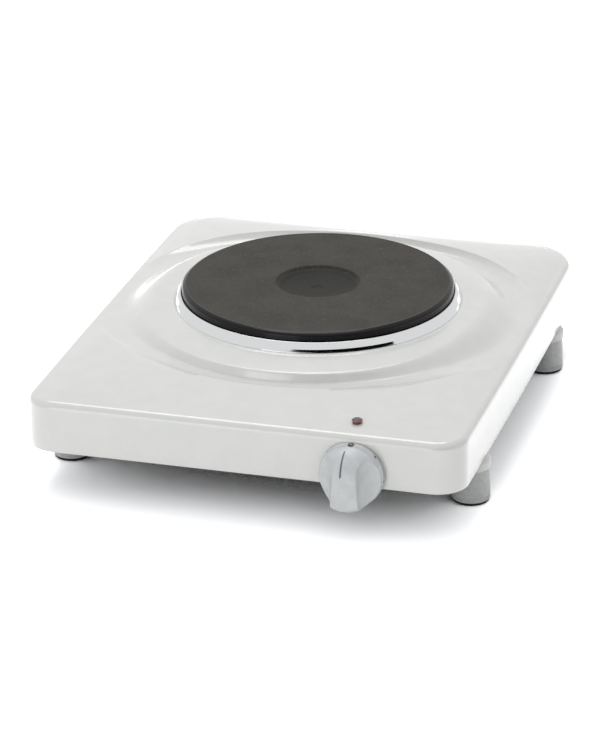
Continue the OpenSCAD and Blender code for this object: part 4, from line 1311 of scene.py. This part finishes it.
@dataclass
class Studio:
    """Floor, soft light and the camera."""

    azimuth: float = 15.94
    elevation: float = 23.28
    roll: float = -0.52
    distance: float = 2435.9
    shift_x: float = 3.37
    shift_y: float = 1.36
    focal_px: float = 3673.8
    centre_px: tuple[float, float] = (319.35, 363.7)
    image_px: tuple[int, int] = (600, 729)
    film_mm: float = 36.0
    floor_half: float = 6.0
    aim_z: float = 0.05
    white: float = 2.3
    contact: float = 0.12
    contact_low: float = 0.03
    contact_high: float = 0.16
    fill: float = 0.62
    flag_turn: float = 16.0
    flag_far: float = 3.2
    flag_half: float = 3.4
    flag_low: float = 0.3
    flag_high: float = 2.6

    def camera(self) -> None:
        """Sets the camera that the rest view is seen from."""
        a, e, r = (math.radians(v) for v in (self.azimuth, self.elevation, self.roll))
        back = Vector((math.sin(a) * math.cos(e), -math.cos(a) * math.cos(e), math.sin(e)))
        right = Vector((math.cos(a), math.sin(a), 0))
        up = back.cross(right)
        right, up = (
            right * math.cos(r) + up * math.sin(r),
            up * math.cos(r) - right * math.sin(r),
        )
        spot = back * self.distance + right * self.shift_x + up * self.shift_y
        spot += Vector((0, CASING_Y, RIDE))
        data = bpy.data.cameras.new("camera")
        camera = linked("camera", data)
        turn = Matrix((right, up, back)).transposed().to_4x4()
        camera.matrix_world = Matrix.Translation(spot * MM) @ turn
        wide, high = self.image_px
        data.sensor_width = self.film_mm
        data.lens = self.focal_px * self.film_mm / high
        data.shift_x = (wide / 2 - self.centre_px[0]) / high
        data.shift_y = (self.centre_px[1] - high / 2) / high
        data.clip_start, data.clip_end = 0.05, 50.0
        bpy.context.scene.camera = camera

    def floor(self) -> None:
        """A plain pale floor that the camera sees as white round the shadow."""
        finish = Finish("studio_floor_white", "#F2F2F0", roughness=0.9, specular=0.0)
        material, tree, main = finish.shader()
        # What the camera and the mirrors see of the floor is a white of its own strength,
        # darkened by a painted contact shadow that sinks to black where the casing lies close above it
        near = add_node(tree, "ShaderNodeAmbientOcclusion", {"Distance": self.contact}, samples=16)
        clear = stepped(tree, near.outputs["AO"], self.contact_low, self.contact_high)
        shade = math_node(tree, "MULTIPLY", clear, self.white)
        lit = add_node(tree, "ShaderNodeBsdfDiffuse", links={"Color": shade})
        self.shown(tree, main.outputs["BSDF"], lit.outputs["BSDF"], tree.nodes["Material Output"])
        s = self.floor_half
        self.card("studio_floor", ((-s, -s, 0), (s, -s, 0), (s, s, 0), (-s, s, 0)), material)

    def shown(self, tree: Tree, plain: Output, seen: Output, end: bpy.types.Node) -> None:
        """Ends a tree with one shader for light and another for what is seen.

        Args:
            tree: the tree.
            plain: the shader that bounced light meets.
            seen: the shader for rays from the camera, from a mirror or through glass.
            end: the tree's output node.
        """
        path = add_node(tree, "ShaderNodeLightPath").outputs
        direct = math_node(tree, "MAXIMUM", path["Is Camera Ray"], path["Is Glossy Ray"])
        direct = math_node(tree, "MAXIMUM", direct, path["Is Transmission Ray"])
        mix = add_node(tree, "ShaderNodeMixShader", links={0: direct, 1: plain, 2: seen})
        tree.links.new(mix.outputs["Shader"], end.inputs["Surface"])

    def card(self, name: str, corners: Sequence[Sequence[float]], material: Material) -> Object:
        """A flat four-cornered stage piece, in metres."""
        mesh = bpy.data.meshes.new(name)
        mesh.from_pydata([tuple(c) for c in corners], [], [(0, 1, 2, 3)])
        mesh.materials.append(material)
        made = linked(name, mesh)
        return made

    def flag(self) -> None:
        """A dark card behind the camera, which is seen only in reflections."""
        finish = Finish("studio_card_black", "#0C0C0D", roughness=0.9, specular=0.0)
        a = math.radians(self.azimuth + self.flag_turn)
        middle = Vector((math.sin(a), -math.cos(a), 0)) * self.flag_far
        side = Vector((math.cos(a), math.sin(a), 0)) * self.flag_half
        low, high = (Vector((0, 0, z)) for z in (self.flag_low, self.flag_high))
        corners = (middle - side + low, middle + side + low, middle + side + high, middle - side + high)
        made = self.card("studio_card", corners, finish.shader()[0])
        made.visible_camera = made.visible_diffuse = made.visible_shadow = False

    def lamp(self, name: str, spot: Sequence[float], size: float, watts: float) -> None:
        """A square soft lamp that looks at the object."""
        data = bpy.data.lights.new(name, "AREA")
        data.shape, data.size, data.energy = "SQUARE", size, watts
        made = linked(name, data)
        made.location = Vector(spot)
        made.rotation_mode = "QUATERNION"
        made.rotation_quaternion = (Vector((0, 0, self.aim_z)) - Vector(spot)).to_track_quat("-Z", "Y")

    def world(self) -> None:
        """A white surround: white where seen or mirrored, plain fill elsewhere."""
        world = bpy.data.worlds.new("studio_world")
        bpy.context.scene.world = world
        world.use_nodes = True
        tree = world.node_tree
        shown = tree.nodes["Background"]
        shown.inputs["Color"].default_value = linear("#FFFFFF")
        shown.inputs["Strength"].default_value = 1.0
        values = {"Color": linear("#FCFDFF"), "Strength": self.fill}
        fill = add_node(tree, "ShaderNodeBackground", values)
        self.shown(tree, fill.outputs[0], shown.outputs[0], tree.nodes["World Output"])

    def build(self) -> None:
        """Sets up the whole studio."""
        bpy.context.scene.view_settings.view_transform = "Standard"
        self.camera()
        self.floor()
        self.world()
        self.flag()
        self.lamp("key_lamp", (-0.35, 0.8, 1.9), 1.1, 16)
        self.lamp("front_lamp", (-0.5, -2.0, 0.45), 1.0, 8)


def finishes() -> dict[str, Material]:
    """Every finish of the pieces that keep their CAD shape, by its record slot."""
    made = {
        # Black stoving lacquer on pressed steel: satin, with a fine pebble
        "black_pan": Lacquer(
            "black_stoved_lacquer", "#26272A", "#1F2022", roughness=0.42, grain_mm=1.8, bump_mm=0.02
        ),
        # Zinc-plated mild steel: dull bluish silver with cloudy plating
        "zinc_steel": Plated(
            "zinc_plated_steel", "#B9BCC0", "#A6AAB2", roughness=0.34, metallic=1.0, grain_mm=1.6
        ),
        # Brass strip and turned brass: warm, with darker handling marks
        "brass": Plated("brass_strip", "#B5975A", "#9A7C45", roughness=0.3, metallic=1.0, grain_mm=2.0),
        # Phosphor bronze spring strip: redder than brass and rolled smooth
        "copper": Plated(
            "phosphor_bronze_strip", "#B0714A", "#93583A", roughness=0.28, metallic=1.0, grain_mm=2.0
        ),
        # Magnesia cement packed round the coils: chalky, crumbly, cream
        "cement": Finish(
            "magnesia_cement", "#CFC8B6", "#B4AB97", roughness=0.92, specular=0.2, grain_mm=1.2, bump_mm=0.12
        ),
        # Resistance wire that has been hot: a dark grey oxide with a green cast
        "coil_wire": Plated(
            "oxidised_resistance_wire", "#5A5A54", "#3E403C", roughness=0.5, metallic=1.0, grain_mm=1.2
        ),
        # Steatite: cream glazed ceramic with faint iron specks
        "ceramic_block": Ceramic(
            "steatite_ceramic", "#E6DFCE", "#D8CFBA", roughness=0.3, grain_mm=1.2, bump_mm=0.02
        ),
        # Brown phenolic: glossy moulded thermoset with darker wood-flour flow marks
        "brown_phenolic": Finish(
            "brown_phenolic_moulding", "#41291C", "#2E1C13", roughness=0.3, grain_mm=4.0, bump_mm=0.01
        ),
        # Natural nylon: waxy, slightly yellow
        "white_nylon": Waxy("natural_nylon", "#E6E1D0", "#DCD5BF", roughness=0.45, grain_mm=3.0),
        # Clear bulb glass with a warm electrode glow behind it
        "clear_bulb": Bulb("bulb_glass", "#F2DDC8", roughness=0.04),
        # Black nylon: spark-eroded mould texture, satin
        "black_plastic": Finish(
            "black_nylon_moulding", "#242427", "#1B1B1D", roughness=0.5, grain_mm=0.8, bump_mm=0.03
        ),
        # Earth lead: green insulation with a yellow stripe
        "earth_wire_green": Striped("green_and_yellow_sleeving", "#3F8A3C", "#D9C93A", roughness=0.5),
    }
    # Heat-proof sleeving: braided glass fibre, so it has a fine woven pitch
    sleeves = {
        "brown_wire": ("brown_glass_sleeving", "#5E3B26", "#4A2D1C"),
        "blue_wire": ("blue_glass_sleeving", "#3457A4", "#27427F"),
        "black_wire": ("black_glass_sleeving", "#232326", "#151517"),
        "white_wire": ("pale_glass_sleeving", "#DAD6CB", "#C0BBAD"),
    }
    for slot, look in sleeves.items():
        made[slot] = Braid(*look, roughness=0.7, grain_mm=0.9)
    return {slot: finish.build() for slot, finish in made.items()}


def dress_nodes(by_slot: dict[str, Material]) -> None:
    """Gives each CAD node that stays visible the finish of its slot."""
    for part in frame["record"]["subparts"]:
        finish = by_slot.get(part["material_slot"])
        node = frame["nodes"].get(part["node"])
        if finish is None or node is None:
            continue
        for held in node.material_slots:
            held.material = finish
        LOG.info("%s wears %s", node.name, finish.name)


def main() -> None:
    """Builds the studio and every piece in order."""
    logging.basicConfig(level=logging.INFO, format="%(name)s %(message)s")
    Studio().build()
    casing, plate, knob, lamp = Casing(), CookingPlate(), Knob(), PilotLamp()
    plate_axis = (0.0, plate.plate_y, 0.0)
    # Vitreous enamel: glassy white coat over steel, faintly wavy where it flowed in the kiln
    enamel = Enamel(
        "vitreous_enamel_white", "#DCDCD9", "#D8D9D5", roughness=0.2, grain_mm=2.5, bump_mm=0.012
    ).build()
    # Grey cast iron, turned flat and burnt in: dull brown-black face, polished black rim
    iron = CastPlate(
        "burnt_in_cast_iron", "#383630", "#2E2C28", roughness=0.62, specular=0.22, grain_mm=1.1,
        bump_mm=0.02, centre=plate_axis,
    ).build()
    # Polished stainless steel: a mirror that shows the room as bands
    steel = Polished(
        "polished_stainless_steel", "#D6D7D8", roughness=0.05, metallic=1.0, bump_mm=0.001,
        centre=plate_axis,
    ).build()
    # Mineral-filled thermoset: pale grey with fine specks and a soft sheen
    plastic = DialPlastic(
        "filled_thermoset_grey", "#CACCCD", "#C2C5C6", roughness=0.4, grain_mm=1.1, bump_mm=0.01,
        axis=(knob.x, knob.z + RIDE), skirt_y=knob.wall_y - knob.gap, mark_r=knob.radius - 0.4,
    ).build()
    # The same thermoset unpolished on the feet, paler on their collars
    foot_plastic = FootPlastic(
        "moulded_thermoset_feet", "#B9BAB8", "#ADAFAD", roughness=0.45, grain_mm=3.0, bump_mm=0.01,
        collar_z=RIDE - 9.0,
    ).build()
    # Nitrile rubber: dull black with a dusty bloom
    rubber = Finish(
        "nitrile_rubber_black", "#19191A", "#242424", roughness=0.85, specular=0.3, grain_mm=1.5, bump_mm=0.04
    ).build()
    # Dark red acrylic over an unlit bulb, with a pale edge where light runs through
    lens = LensPlastic(
        "red_acrylic_lens", "#240708", "#8E4A48", roughness=0.12, centre=(lamp.x, lamp.y, 0.0), core_r=3.0
    ).build()
    by_slot = finishes()
    dress_nodes(by_slot)
    casing.build(enamel)
    plate.build_plate(iron)
    plate.build_ring(steel)
    knob.build(plastic)
    Feet().build(foot_plastic, rubber)
    lamp.build(lens)
    PanScrews().build(by_slot["zinc_steel"])
    InletGland().build(by_slot["black_plastic"])

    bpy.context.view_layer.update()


if __name__ == "__main__":
    main()
